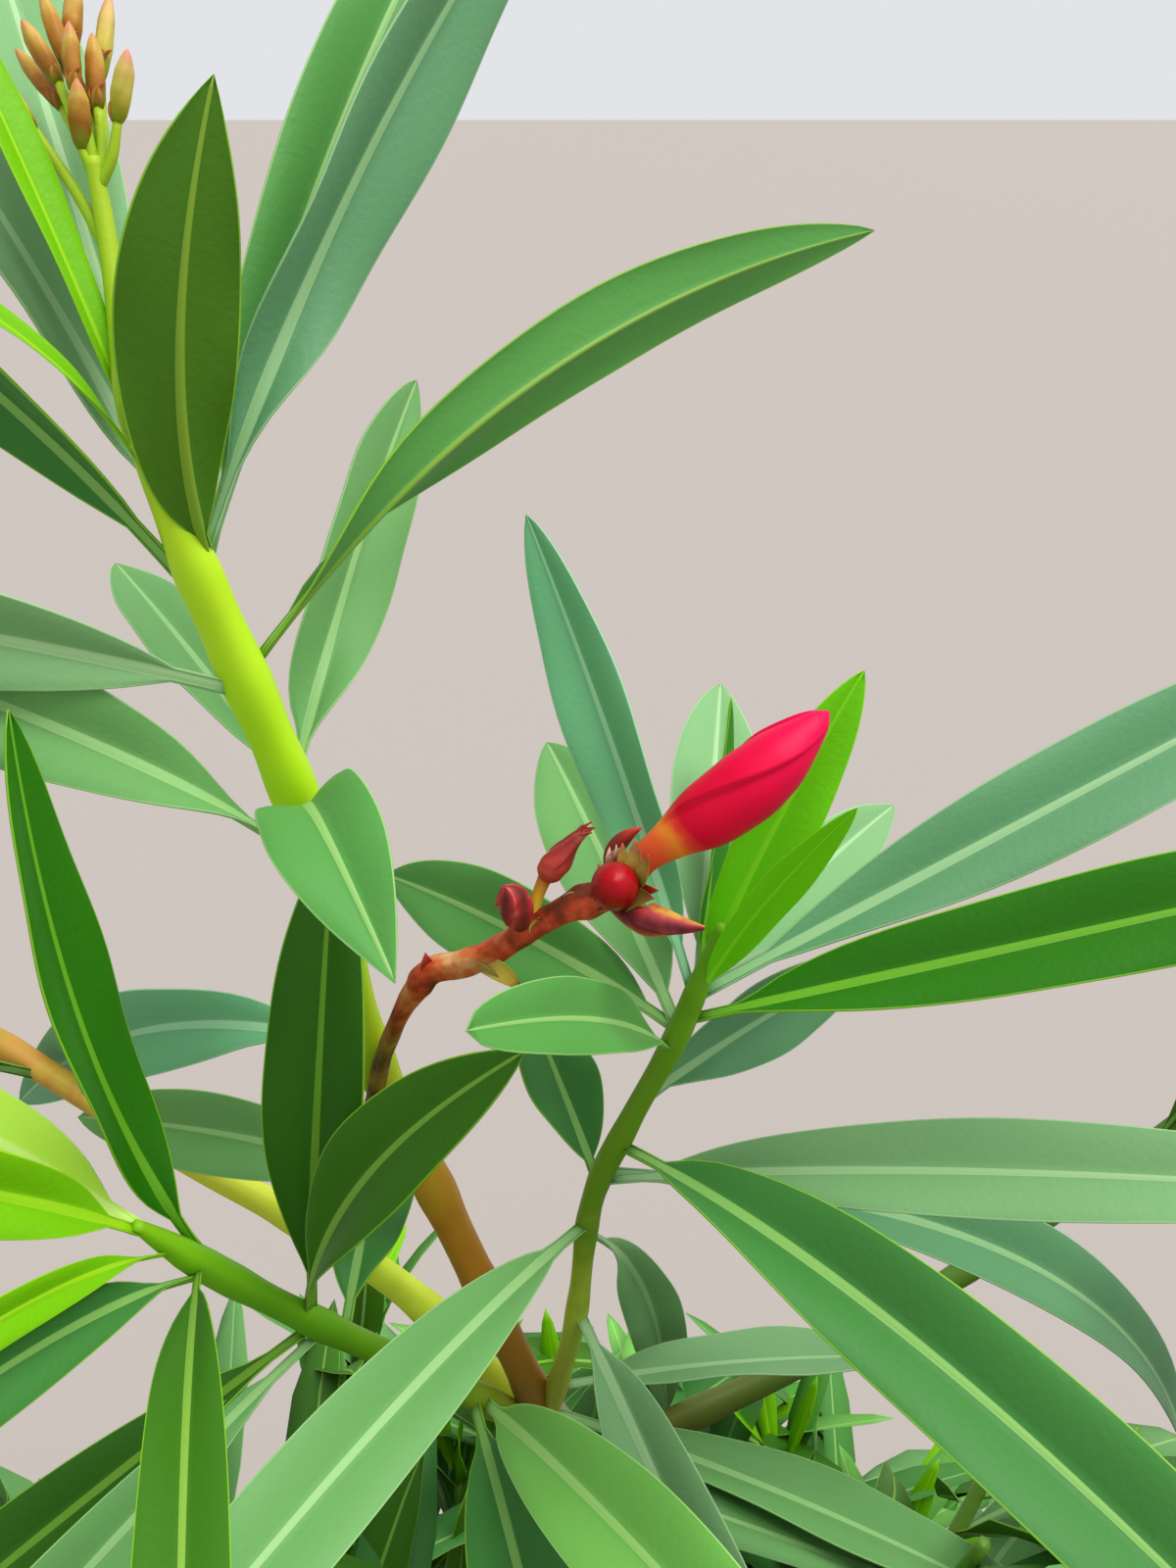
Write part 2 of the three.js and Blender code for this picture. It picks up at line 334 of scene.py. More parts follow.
# Materials
def newMaterial(name, colour, roughness, **sockets):
    material = bpy.data.materials.new(name)
    material.use_nodes = True
    shader = shaderOf(material)
    shader.inputs["Base Color"].default_value = (*colour, 1)
    shader.inputs["Roughness"].default_value = roughness
    for socket, value in sockets.items():
        shader.inputs[socket.replace("_", " ")].default_value = value
    return material


def shaderOf(material):
    return material.node_tree.nodes["Principled BSDF"]


def node(material, kind, **settings):
    made = material.node_tree.nodes.new(kind)
    for key, value in settings.items():
        setattr(made, key, value)
    return made


def link(material, source, target):
    material.node_tree.links.new(source, target)


def maths(material, operation, *values):
    made = node(material, "ShaderNodeMath", operation=operation)
    for socket, value in zip(made.inputs, values):
        if isinstance(value, (int, float)):
            socket.default_value = value
        else:
            link(material, value, socket)
    return made.outputs["Value"]


def times(material, value, factor):
    return maths(material, "MULTIPLY", value, factor)


def placeOf(material, axis, coordinate="UV"):  # one coordinate of the place on the piece
    place = node(material, "ShaderNodeTexCoord")
    parts = node(material, "ShaderNodeSeparateXYZ")
    link(material, place.outputs[coordinate], parts.inputs["Vector"])
    return parts.outputs[axis]


def grain(material, scale, detail=4, stretch=(1, 1, 1)):
    place = node(material, "ShaderNodeTexCoord")
    mapping = node(material, "ShaderNodeMapping")
    mapping.inputs["Scale"].default_value = stretch
    made = node(material, "ShaderNodeTexNoise")
    made.inputs["Scale"].default_value = scale
    made.inputs["Detail"].default_value = detail
    link(material, place.outputs["Object"], mapping.inputs["Vector"])
    link(material, mapping.outputs["Vector"], made.inputs["Vector"])
    return made.outputs["Fac"]


def wobble(material, scale, detail, amount):  # a grain that adds or takes away up to amount
    return times(material, maths(material, "SUBTRACT", grain(material, scale, detail), 0.5), amount * 2)


def ramp(material, factor, stops):  # stops are (place, colour)
    made = node(material, "ShaderNodeValToRGB")
    elements = made.color_ramp.elements
    while len(elements) < len(stops):
        elements.new(0.5)
    for element, (place, colour) in zip(elements, stops):
        element.position = place
        element.color = (*colour, 1)
    link(material, factor, made.inputs["Fac"])
    return made.outputs["Color"]


def blended(material, factor, first, second):
    made = node(material, "ShaderNodeMix", data_type="RGBA")
    link(material, factor, made.inputs[0])
    link(material, first, made.inputs[6])
    link(material, second, made.inputs[7])
    return made.outputs[2]


def setColour(material, colour):
    link(material, colour, shaderOf(material).inputs["Base Color"])


def addBump(material, height, strength, distance):
    bump = node(material, "ShaderNodeBump")
    bump.inputs["Strength"].default_value = strength
    bump.inputs["Distance"].default_value = distance
    link(material, height, bump.inputs["Height"])
    link(material, bump.outputs["Normal"], shaderOf(material).inputs["Normal"])


leafLook = {
    "sideVeins": 84,  # along the blade
    "veinSlant": 3.0,  # veins further on where a vein meets the edge
    "veinDepth": 0.00004,
    "veinShare": 0.12,  # of the relief, beside the dimples
    "dimples": 900,
    "dimpleShare": 6.0,
    "roughness": 0.48,
    "gloss": 0.18,
    "glow": 0.10,
    "glowReach": (0.002, 0.004, 0.001),
    "under": (0.054, 0.165, 0.004),
    # the undersides' colour, darker than their real paler green: painted shade
    "edge": (0.200, 0.440, 0.016),
    "sameBelow": ("lime", "vivid", "glowing", "pale", "light", "sky_sheen", "strong_sky_sheen"),  # of one colour throughout
    "brightEdged": ("dark", "moss", "dusk", "deep", "bright"),
}

# The colours of the sprays, for blade and rib. sky_sheen, strong_sky_sheen and pale are painted reflections
# of the sky on upturned faces, light and sunny are painted sunlight, and glowing is a young leaf's lime
# with painted light on it.
leafColours = {
    "dark": ((0.024, 0.120, 0.003), (0.120, 0.290, 0.012)),
    "moss": ((0.040, 0.155, 0.006), (0.190, 0.380, 0.040)),
    # dusk is an underside green darkened with painted shade
    "dusk": ((0.054, 0.165, 0.004), (0.180, 0.320, 0.016)),
    "fresh": ((0.064, 0.250, 0.024), (0.180, 0.420, 0.070)),
    "sunny": ((0.160, 0.450, 0.075), (0.310, 0.590, 0.160)),
    "strong_sky_sheen": ((0.140, 0.420, 0.190), (0.300, 0.600, 0.330)),
    "deep": ((0.048, 0.200, 0.036), (0.200, 0.420, 0.090)),
    "mid": ((0.086, 0.290, 0.056), (0.250, 0.480, 0.130)),
    "sky_sheen": ((0.100, 0.270, 0.115), (0.240, 0.440, 0.190)),
    "light": ((0.140, 0.350, 0.100), (0.280, 0.520, 0.180)),
    "pale": ((0.200, 0.410, 0.165), (0.340, 0.560, 0.260)),
    "bright": ((0.022, 0.165, 0.002), (0.130, 0.380, 0.014)),
    "lime": ((0.165, 0.480, 0.001), (0.290, 0.600, 0.006)),
    "vivid": ((0.150, 0.590, 0.001), (0.230, 0.680, 0.004)),
    "glowing": ((0.520, 0.840, 0.070), (0.600, 0.880, 0.180)),
}


def makeLeafLook(name, colour, roughness):
    look = newMaterial(name, colour, roughness, Subsurface_Weight=leafLook["glow"],
                       Specular_IOR_Level=leafLook["gloss"])
    shaderOf(look).inputs["Subsurface Radius"].default_value = leafLook["glowReach"]
    slant = times(look, maths(look, "ABSOLUTE", placeOf(look, "X")), leafLook["veinSlant"])
    along = times(look, placeOf(look, "Y"), leafLook["sideVeins"])
    wave = maths(look, "SINE", times(look, maths(look, "SUBTRACT", along, slant), math.tau))
    veins = times(look, wave, leafLook["veinShare"])
    dimples = times(look, grain(look, leafLook["dimples"]), leafLook["dimpleShare"])
    addBump(look, maths(look, "ADD", veins, dimples), 0.4, leafLook["veinDepth"])
    return look


leafMaterials = {}
for kind, (bladeColour, ribColour) in leafColours.items():
    bladeLook = makeLeafLook("leaf_" + kind, bladeColour, leafLook["roughness"])
    leafMaterials[kind] = (bladeLook, newMaterial("rib_" + kind, ribColour, 0.5, Specular_IOR_Level=0.3))
# leaf_under carries the painted shade of the undersides
leafUnder = makeLeafLook("leaf_under", leafLook["under"], 0.6)
leafMargin = newMaterial("leaf_margin", leafLook["edge"], 0.5, Specular_IOR_Level=0.3)


def makeBark():
    material = newMaterial("bark", (0.2, 0.17, 0.1), 0.85)
    streaks = grain(material, 60, 6, (1, 1, 0.25))
    setColour(material, ramp(material, streaks, [
        (0.3, (0.105, 0.080, 0.045)), (0.5, (0.235, 0.195, 0.120)), (0.72, (0.360, 0.320, 0.225))]))
    addBump(material, grain(material, 260, 6, (1, 1, 0.3)), 0.5, 0.0006)
    return material


def alongLook(name, stops, roughness, scale=500, uneven=0.08, fine=0.0002, **sockets):
    material = newMaterial(name, stops[0][1], roughness, **sockets)  # its colour changes from foot to tip
    place = maths(material, "ADD", placeOf(material, "Y"), wobble(material, scale, 4, uneven))
    setColour(material, ramp(material, place, stops))
    addBump(material, grain(material, scale * 2), 0.3, fine)
    return material


def streakedLook(name, stops, roughness, streaks, uneven, **sockets):
    material = newMaterial(name, stops[0][1], roughness, **sockets)  # its colour changes around it
    turn = times(material, placeOf(material, "X"), streaks * math.tau)
    lean = times(material, placeOf(material, "Y"), 2.5)
    wave = times(material, maths(material, "SINE", maths(material, "ADD", turn, lean)), 0.3)
    factor = maths(material, "ADD", maths(material, "ADD", wave, 0.5), wobble(material, 420, 5, uneven))
    setColour(material, ramp(material, factor, stops))
    addBump(material, grain(material, 1200), 0.4, 0.0002)
    return material


bark = makeBark()
print("materials made")


# Limbs: the stem and its boughs, in millimetres. A bough that the photograph shows passes through places
# there, as (pixel, reach).
stem = {"foot": (4, 3, 188), "fork": (1, -4, 582), "bow": (6, 6, 0), "radii": (8.5, 5.5), "flare": 6,
        "flareShare": 0.07}

boughs = {
    "left": {"station": 1, "radii": (3.4, 3.2), "through": [
        ((500, 1330), 0.242), ((445, 1215), 0.226), ((376, 1066), 0.208), ((343, 935), 0.195),
        ((298, 800), 0.183), ((240, 668), 0.173), ((178, 530), 0.163), ((131, 418), 0.157)]},
    "right": {"station": 1, "radii": (2.1, 1.8), "through": [
        ((586, 1350), 0.241), ((603, 1228), 0.221), ((642, 1144), 0.207), ((686, 1066), 0.197),
        ((715, 1000), 0.189), ((736, 943), 0.183)]},
    "near": {"station": 0.99, "radii": (2.8, 2.2), "through": [
        ((452, 1408), 0.240), ((330, 1352), 0.214), ((230, 1302), 0.195), ((138, 1250), 0.178)]},
    "far_left": {"station": 0.98, "radii": (3.6, 2.6), "through": [
        ((436, 1335), 0.265), ((311, 1248), 0.264), ((191, 1182), 0.264), ((0, 1066), 0.266),
        ((-132, 992), 0.271)]},
    "far_right": {"station": 0.95, "tip": (165, 62, 612), "bow": (10, 4, -26), "radii": (3.4, 2.2)},
    "low_right": {"station": 0.78, "tip": (150, -30, 560), "bow": (12, 0, -18), "radii": (4, 2.6)},
    "low_front": {"station": 0.8, "tip": (38, -140, 600), "bow": (2, -16, -18), "radii": (4, 2.6)},
    "low_front_left": {"station": 0.66, "tip": (-105, -115, 545), "bow": (-12, -12, -18),
                       "radii": (4.2, 2.6)},
    "low_left": {"station": 0.58, "tip": (-155, 10, 500), "bow": (-14, 0, -18), "radii": (4.2, 2.6)},
    "low_back_left": {"station": 0.42, "tip": (-90, 115, 400), "bow": (-10, 12, -14), "radii": (4.4, 2.6)},
    "low_back": {"station": 0.5, "tip": (30, 130, 415), "bow": (2, 14, -14), "radii": (4.4, 2.6)},
    "low_back_right": {"station": 0.36, "tip": (128, 90, 400), "bow": (12, 8, -16), "radii": (4.4, 2.6)},
    "low_front_right": {"station": 0.5, "tip": (112, -105, 455), "bow": (10, -10, -16),
                        "radii": (4.4, 2.6)},
}

trunk = bowedLimb(np.array(stem["foot"]) * mm, stem["fork"], stem["bow"], stem["radii"])
limbs = {}
for name, bough in boughs.items():
    foot = trunk.at(bough["station"])
    if "through" in bough:
        radii = np.interp(np.linspace(0, 1, 21), (0, 0.88, 1), (*bough["radii"], bough["radii"][1] * 0.35))
        limbs[name] = splineLimb([foot] + spots(bough["through"]), radii * mm)  # drawn in at its tip
    else:
        limbs[name] = bowedLimb(foot, bough["tip"], bough["bow"], bough["radii"])


# Leaves, in millimetres and degrees
leafShape = {
    "thickness": 0.42,
    "thinning": 0.3,  # the share of its thickness that the blade loses up to its tip
    "fold": 27,  # how far each half of the blade rises from the rib
    "foldShares": (1.2, 0.7),  # of the fold, at foot and tip
    "wave": 0.05,  # how far the margins ripple, as a share of the half width
    "ripples": 17,  # radians of ripple along the leaf
    "curl": 0.13,  # how far the margins turn down again, as a share of the half width
    "ribHalf": (1.0, 0.25),  # half the rib's width at foot and tip, on a leaf of standard width
    "ribDepth": (1.0, 0.12),
    "ribRise": 0.08,  # over the blade
    "plainHump": 0.4,  # the share of the rib's height that a leaf of few faces has
    "standard": 19,
    "edge": 0.25,
    "stalk": 0.07,  # the share of the leaf that is its stalk
    "base": 0.85,  # the outline's power towards the foot, and towards the tip: small is blunt
    "point": 0.80,
    "twistShare": 0.4,  # the part of the leaf over which its face turns from the shoot's to its own
}


def bladeOutline(t, leaf):  # half width, as a share of the greatest
    blade = np.clip((t - leafShape["stalk"]) / (1 - leafShape["stalk"]), 0, 1)
    base, point = (leaf.get(end, leafShape[end]) for end in ("base", "point"))
    return (4 * blade * (1 - blade)) ** np.where(blade < 0.5, base, point)


def leafFrames(foot, tip, leaf, footFace, face):
    t = np.linspace(0, 1, 41)[:, None]
    chord = tip - foot
    size = np.linalg.norm(chord)
    ahead = chord / size
    lift = np.array((0, 0, 1.0)) - ahead[2] * ahead
    if np.linalg.norm(lift) < 0.3:
        lift = -np.array((0, 1.0, 0)) + ahead[1] * ahead
    lift = unit(lift)
    sway = np.cross(ahead, lift)
    rise = size * 4 * t * (1 - t) * (1 - leaf.get("skew", 0.25) * t)
    middle = foot + chord * t + (lift * leaf["arch"] + sway * leaf.get("bend", 0)) * rise
    ways = unit(np.gradient(middle, axis=0))
    if footFace @ face < -0.2:
        footFace = face
    mix = smooth(t / leafShape["twistShare"])
    faces = footFace * (1 - mix) + face * mix
    faces = unit(faces - ways * np.sum(faces * ways, axis=1, keepdims=True))
    return t[:, 0], middle, ways, faces, size


def addLeaf(piece, foot, tip, leaf, footFace, face, fineness="fine"):
    table, middle, ways, faces, size = leafFrames(foot, tip, leaf, footFace, face)
    blank = blankBlade(fineness)
    x, t, layer = coordinatesOf(blank).T
    band = np.abs(x)
    slim = min(1, leaf["width"] / leafShape["standard"])
    ribHalf = np.interp(t, (0, 1), leafShape["ribHalf"]) * slim
    edge = leafShape["edge"] * np.clip((1 - t) * 12, 0.15, 1) * slim
    slimmest = (ribHalf + edge) * np.clip((1 - t) * 16, 0.3, 1)
    half = np.maximum(leaf["width"] / 2 * bladeOutline(t, leaf), slimmest)
    ribHalf = np.minimum(ribHalf, half * 0.6)
    bands = (bladeBands["rib"], bladeBands["margin"])
    within = np.clip((band - bands[0]) / (bands[1] - bands[0]), 0, 1)
    outside = np.clip((band - bands[1]) / (1 - bands[1]), 0, 1)
    inside = np.clip(band / bands[0], 0, 1)
    aside = inside * ribHalf + within * (half - edge - ribHalf) + outside * edge
    fold = math.radians(leaf.get("fold", leafShape["fold"])) * np.interp(t, (0, 1), leafShape["foldShares"])
    spread = np.maximum(aside - ribHalf, 0)
    ripple = np.sin(t * leafShape["ripples"] + np.sign(x) * 1.3 + size * 300)
    ripple *= leaf.get("wave", leafShape["wave"]) * band**2
    rise = spread * np.sin(fold) + half * (ripple - leafShape["curl"] * band**4)
    hump = 1 - inside**2 if fineness == "fine" else leafShape["plainHump"]
    hump = hump * (band <= bands[0])
    thick = leafShape["thickness"] * (1 - leafShape["thinning"] * t) * slim
    depth = np.interp(t, (0, 1), leafShape["ribDepth"]) * slim
    rise += np.where(layer > 0.5, thick / 2 + leafShape["ribRise"] * hump, -thick / 2 - depth * hump)
    wide = np.minimum(aside, ribHalf) + spread * np.cos(fold)
    way = readRows(t, table, ways)
    up = unit(readRows(t, table, faces))
    places = readRows(t, table, middle)
    places += np.cross(way, up) * (np.sign(x) * wide * mm)[:, None] + up * (rise * mm)[:, None]
    blade, rib = leafMaterials[leaf["kind"]]
    under = leafMaterials[leaf["back"]][0] if "back" in leaf else leafUnder
    if leaf["kind"] in leafLook["sameBelow"]:
        under = blade
    margin = leafMargin if leaf["kind"] in leafLook["brightEdged"] else rib
    piece.add(blank, places, blade, rib, margin, under)


def shown(station, tip, reach, width, arch, turn, kind, **more):
    return dict(station=station, tip=tip, reach=reach, width=width, arch=arch, turn=turn, kind=kind, **more)


# The leaves that the photograph shows. station is the share of the shoot where the leaf grows, tip its
# tip's pixel, reach how far in front of the lens that tip is, turn how far its face is turned about the
# rib from looking at the lens, in degrees, and long its length where the tip is out of view.
namedLeaves = {
    "left": {
        "broad": shown(0.905, (218, 76), 0.140, 16.5, 0.10, 190, "dusk", bend=-0.045, back="dusk", base=0.5,
            point=0.95),
        "longBlue": shown(0.905, (575, -170), 0.195, 19, 0.05, 40, "sky_sheen", long=140, fold=30),
        "longGreen": shown(0.90, (488, -170), 0.215, 18, 0.05, 10, "mid", long=146),
        "sideBlue": shown(0.895, (-150, 330), 0.145, 19, 0.06, -50, "deep", long=112),
        "arching": shown(0.83, (892, 235), 0.220, 15, 0.10, 212, "moss", back="mid", base=0.4),
        "sideLow": shown(0.82, (-170, 632), 0.140, 18, 0.02, -20, "pale", long=108),
        "folded": shown(0.712, (403, 1003), 0.145, 16.5, 0.27, 0, "mid", bend=0.05, base=0.4, point=1.0),
        "behind": shown(0.745, (425, 388), 0.225, 17, 0.04, 35, "light", base=0.55),
        "sideLower": shown(0.69, (-110, 712), 0.150, 18, 0.05, 0, "light", long=112),
        "limeLong": shown(0.97, (-30, 60), 0.150, 8, 0.02, 50, "lime", long=76),
        "limeThin": shown(0.96, (-40, 350), 0.140, 5, 0.12, 60, "lime", long=50),
        "paleBack": shown(0.93, (-110, 60), 0.180, 20, 0.04, 45, "pale", long=100),
        "paleTop": shown(0.97, (-30, -120), 0.180, 16, 0.04, 20, "pale", long=105),
        "paleShade": shown(0.74, (118, 575), 0.235, 16, 0.02, 30, "light"),
        "backHigh": shown(0.50, (20, 1125), 0.292, 20, 0.10, -10, "strong_sky_sheen"),
        "backLow": shown(0.34, (80, 1140), 0.280, 18, 0.04, -10, "light"),
    },
    "right": {
        "spear": shown(0.90, (537, 525), 0.200, 14.5, 0.03, -30, "strong_sky_sheen", fold=30),
        "limeBroad": shown(0.92, (882, 684), 0.174, 12.5, 0.03, 20, "vivid", base=0.6),
        "limeShort": shown(0.91, (875, 824), 0.156, 7, 0.03, 25, "vivid", base=0.6),
        "paleRight": shown(0.90, (912, 822), 0.235, 14, 0.03, 0, "pale"),
        "paleUp": shown(0.92, (735, 698), 0.230, 17, 0.03, 10, "pale"),
        "darkUp": shown(0.92, (746, 712), 0.205, 9, 0.02, 70, "bright"),
        "backUp": shown(0.84, (558, 758), 0.250, 20, 0.03, 0, "light"),
        "rightBlue": shown(0.90, (1400, 650), 0.205, 19, 0.0, -10, "sky_sheen", long=138, fold=26, base=0.85),
        "rightBright": shown(0.865, (1400, 885), 0.165, 17.5, 0.0, -15, "bright", long=125, base=0.5),
        "toLens": shown(0.82, (476, 1052), 0.135, 11.5, 0.05, 20, "mid", base=0.7, point=0.5),
        "leftBehind": shown(0.84, (395, 893), 0.245, 19, 0.04, -10, "mid"),
        "darkBack": shown(0.72, (880, 985), 0.235, 15, 0.04, 20, "sky_sheen"),
        "droop": shown(0.58, (1210, 1490), 0.300, 19, 0.12, -20, "sky_sheen", skew=-0.2, fold=30),
        "rightFlat": shown(0.57, (1380, 1220), 0.165, 16.5, 0.03, -15, "pale", long=128, base=0.65),
        "great": shown(0.645, (1340, 1790), 0.150, 22.5, 0.10, -8, "deep", long=138, fold=34, base=0.4),
        "paleNear": shown(0.48, (125, 1790), 0.150, 17.5, 0.07, 0, "light", long=125, base=0.7),
        "downRight": shown(0.29, (750, 1700), 0.222, 20, 0.02, 10, "pale", long=105, base=0.5),
        "backLeft": shown(0.56, (540, 1030), 0.240, 16, 0.03, 20, "deep"),
        "below": shown(0.45, (680, 1440), 0.290, 14, 0.08, 0, "pale"),
        "lowRight": shown(0.10, (950, 1385), 0.265, 16, 0.05, -50, "pale"),
        "lowDark": shown(0.03, (1140, 1690), 0.270, 19, 0.05, -40, "light", long=132),
    },
    "near": {
        "tallLeft": shown(0.88, (8, 724), 0.150, 15, 0.03, 50, "bright", bend=-0.05),
        "downFront": shown(0.875, (196, 1800), 0.130, 12, 0.10, 0, "moss", long=112, base=0.4),
        "thinLeft": shown(0.86, (-90, 1515), 0.145, 13, 0.10, -30, "deep", long=95),
        "limeLeft": shown(0.985, (-150, 1105), 0.184, 17, 0.05, 45, "glowing", long=98, base=0.45),
        "limeLeft2": shown(0.99, (-120, 1228), 0.152, 15, 0.05, -15, "lime", long=92, base=0.45),
        "limeLow": shown(0.93, (-90, 1445), 0.140, 7.5, 0.09, -30, "lime", long=78),
        "crossing": shown(0.66, (535, 1073), 0.158, 16.5, 0.08, -20, "moss", base=1.0),
        "uprightDark": shown(0.645, (340, 850), 0.180, 18, 0.04, -20, "dark"),
        "thirdNode": shown(0.55, (400, 1110), 0.260, 18, 0.04, 20, "deep"),
        "lowBig": shown(0.20, (790, 1740), 0.155, 20, 0.03, 0, "sunny", long=125, base=0.6),
        "lowDown": shown(0.22, (570, 1790), 0.200, 23, 0.08, 0, "deep", long=115, base=0.6),
        "cornerDark": shown(0.62, (-160, 1750), 0.185, 16, 0.03, 15, "dark", long=128, base=0.6),
        "cornerPale": shown(0.60, (-20, 1750), 0.180, 16, 0.05, -10, "light", long=120),
    },
}


def addNamedLeaves(piece, shoot, leaves):
    limb = limbs[shoot]
    for leaf in leaves.values():
        foot = limb.at(leaf["station"])
        tip = photoSpot(leaf["tip"], leaf["reach"])
        if "long" in leaf:
            tip = foot + unit(tip - foot) * leaf["long"] * mm
        foot = seatedFoot(limb, leaf["station"], tip - foot)
        ahead = unit(tip - foot)
        look = towardLens((foot + tip) / 2, ahead)
        addLeaf(piece, foot, tip, leaf, limb.heading(leaf["station"]), turned(look, ahead, leaf["turn"]))


# The boughs that the photograph doesn't show grow by a seeded rule: each ends in a few twigs, and each
# twig in whorls of three leaves, the oldest long, dark and spread, the youngest short, lime and upright.
growth = {
    "twigs": 5,
    "twigFrom": (0.45, 0.95),  # share of the bough
    "twigLong": (42, 66),
    "twigLean": (38, 62),
    "twigRadii": (2.2, 1.5),
    "twigLift": 0.25,  # how much a twig turns up
    "leafFrom": 0.42,
    "whorls": 8,
    "twigWhorls": 5,
    "leafLong": (44, 108),  # youngest and oldest
    "leafLean": (24, 84),
    "leafMiddle": (88, 55),  # long and lean halfway
    "leafLeast": 30,
    "slender": 5.2,  # a leaf's length over its width
    "slimmest": 5,
    "jitter": 9,
    "arch": 0.09,
    "behind": 0.24,  # metres in front of the lens, where grown leaves may be in view
    "clear": 0.004,  # metres between a leaf's tip and the sides of the box
    # sunny and light in this palette are painted sunlight, not the green of an age
    "palette": ("lime", "fresh", "sunny", "mid", "light", "deep", "moss"),  # from young to old
}

# Parts of the photograph where the ground shows, as left, top, right and bottom pixels
clearings = [
    (0, 0, 1200, 1040), (0, 1040, 310, 1280), (0, 1280, 180, 1490), (500, 1040, 1200, 1330),
    (880, 1330, 1200, 1440), (235, 1370, 310, 1560),
]


def isCleared(x, y):
    return any(left < x < right and top < y < bottom for left, top, right, bottom in clearings)


def staysOut(foot, tip):  # whether a leaf stays out of the clearings, and from close before the lens
    for share in (0.15, 0.4, 0.65, 0.85, 1):
        x, y, reach = photoPixel(foot + (tip - foot) * share)
        if reach > 0 and isCleared(x, y):
            return False
        if 0 < reach < growth["behind"] and 0 < x < lens["photo"][0] and 0 < y < lens["photo"][1]:
            return False
    return True


def isInside(point):
    low, high = cadBox
    return all(low[k] + growth["clear"] < point[k] < high[k] - growth["clear"] for k in range(3))


def addWhorls(piece, limb, first, last, count, chance, seedTurn):
    grown = 0
    middleLong, middleLean = growth["leafMiddle"]
    for whorl in range(count):
        share = first + (last - first) * whorl / (count - 1)
        age = 1 - whorl / (count - 1)
        heading = limb.heading(share)
        foot = limb.at(share)
        side = limb.side(share)
        for place in range(3):
            turn = 120 * place + 60 * whorl + seedTurn + chance.uniform(-1, 1) * growth["jitter"]
            lean = np.interp(age, (0, 0.5, 1), (growth["leafLean"][0], middleLean, growth["leafLean"][1]))
            lean += chance.uniform(-1, 1) * growth["jitter"]
            long = np.interp(age, (0, 0.45, 1), (growth["leafLong"][0], middleLong, growth["leafLong"][1]))
            long *= chance.uniform(0.85, 1.08)
            way = turned(turned(heading, side, lean), heading, turn)
            tip = foot + way * long * mm
            while not isInside(tip) and long > growth["leafLeast"]:
                long *= 0.93
                tip = foot + way * long * mm
            kind = min(int(age * 6.2 + chance.uniform(0, 1.3)), 6)
            leaf = {
                "width": max(long / growth["slender"], growth["slimmest"]),
                "arch": growth["arch"] * chance.uniform(0.4, 1.5),
                "kind": growth["palette"][kind],
                "wave": chance.uniform(0.02, 0.09),
                "bend": chance.uniform(-0.05, 0.05),
            }
            if staysOut(foot, tip):
                seat = seatedFoot(limb, share, way)
                face = unit(heading * 0.6 + np.array((0, 0, 0.7)) + side * chance.uniform(-0.25, 0.25))
                addLeaf(piece, seat, tip, leaf, heading, face, "plain")
                grown += 1
    return grown


def growBough(leavesPiece, twigPiece, limb, chance):
    seedTurn = chance.uniform(0, 120)
    grown = addWhorls(leavesPiece, limb, growth["leafFrom"], 1, growth["whorls"], chance, seedTurn)
    for twig in range(growth["twigs"]):
        share = chance.uniform(*growth["twigFrom"])
        heading = limb.heading(share)
        lean = chance.uniform(*growth["twigLean"])
        turn = seedTurn + 360 / growth["twigs"] * twig
        way = turned(turned(heading, limb.side(share), lean), heading, turn)
        way = unit(way + np.array((0, 0, growth["twigLift"])))
        foot = limb.at(share)
        tip = (foot + way * chance.uniform(*growth["twigLong"]) * mm) / mm
        if not staysOut(foot, tip * mm):
            continue
        shoot = bowedLimb(foot, tip, (0, 0, -4), growth["twigRadii"])
        addTube(twigPiece, shoot, twigLook, 8, 8)
        grown += addWhorls(leavesPiece, shoot, 0.3, 1, growth["twigWhorls"], chance, seedTurn)
    return grown


twigLook = newMaterial("green_twig", (0.12, 0.27, 0.02), 0.5)
addBump(twigLook, grain(twigLook, 700, 4, (1, 1, 0.3)), 0.4, 0.0003)

print("growing the leaves")
twigs = Piece("twigs")
leafCount = 0
for order, name in enumerate(boughs):
    leaves = Piece("foliage_" + name)
    if name in namedLeaves:
        addNamedLeaves(leaves, name, namedLeaves[name])
        leafCount += len(namedLeaves[name])
    else:
        leafCount += growBough(leaves, twigs, limbs[name], random.Random(order + 20))
    leaves.finish("leaf", "leaves_" + name)
twigs.finish("green_shoot")
print(leafCount, "leaves")


# Stem and boughs, with the bark's relief
relief = {
    "fissures": 7,
    "fissureDepth": 0.025,
    "knobs": 0.07,
    "knobSizes": (90, 34),  # per metre, across the stem and along it
    "roots": 5,
    "rootDepth": 0.35,
    "nodeSwell": 0.16,
    "nodeWidth": 0.006,
    "angles": 0.05,
}


def barkRadius(limb, flare=0, flareShare=1):
    def radiusAt(share, angle):
        widening = flare * np.exp(-share / flareShare)
        across, along = relief["knobSizes"]
        rough = []
        for spot, turn in zip(limb.at(share), angle):
            place = (spot[0] * across + math.cos(turn), spot[1] * across + math.sin(turn), spot[2] * along)
            rough.append(noise.fractal(Vector(place), 1, 2, 4))
        ribs = relief["fissureDepth"] * np.sin(relief["fissures"] * angle + 4 * np.sin(share * 9))
        roots = widening * relief["rootDepth"] * np.cos(relief["roots"] * angle + 1)
        return (limb.radius(share) + widening) * (1 + relief["knobs"] * np.array(rough) + ribs) + roots
    return radiusAt


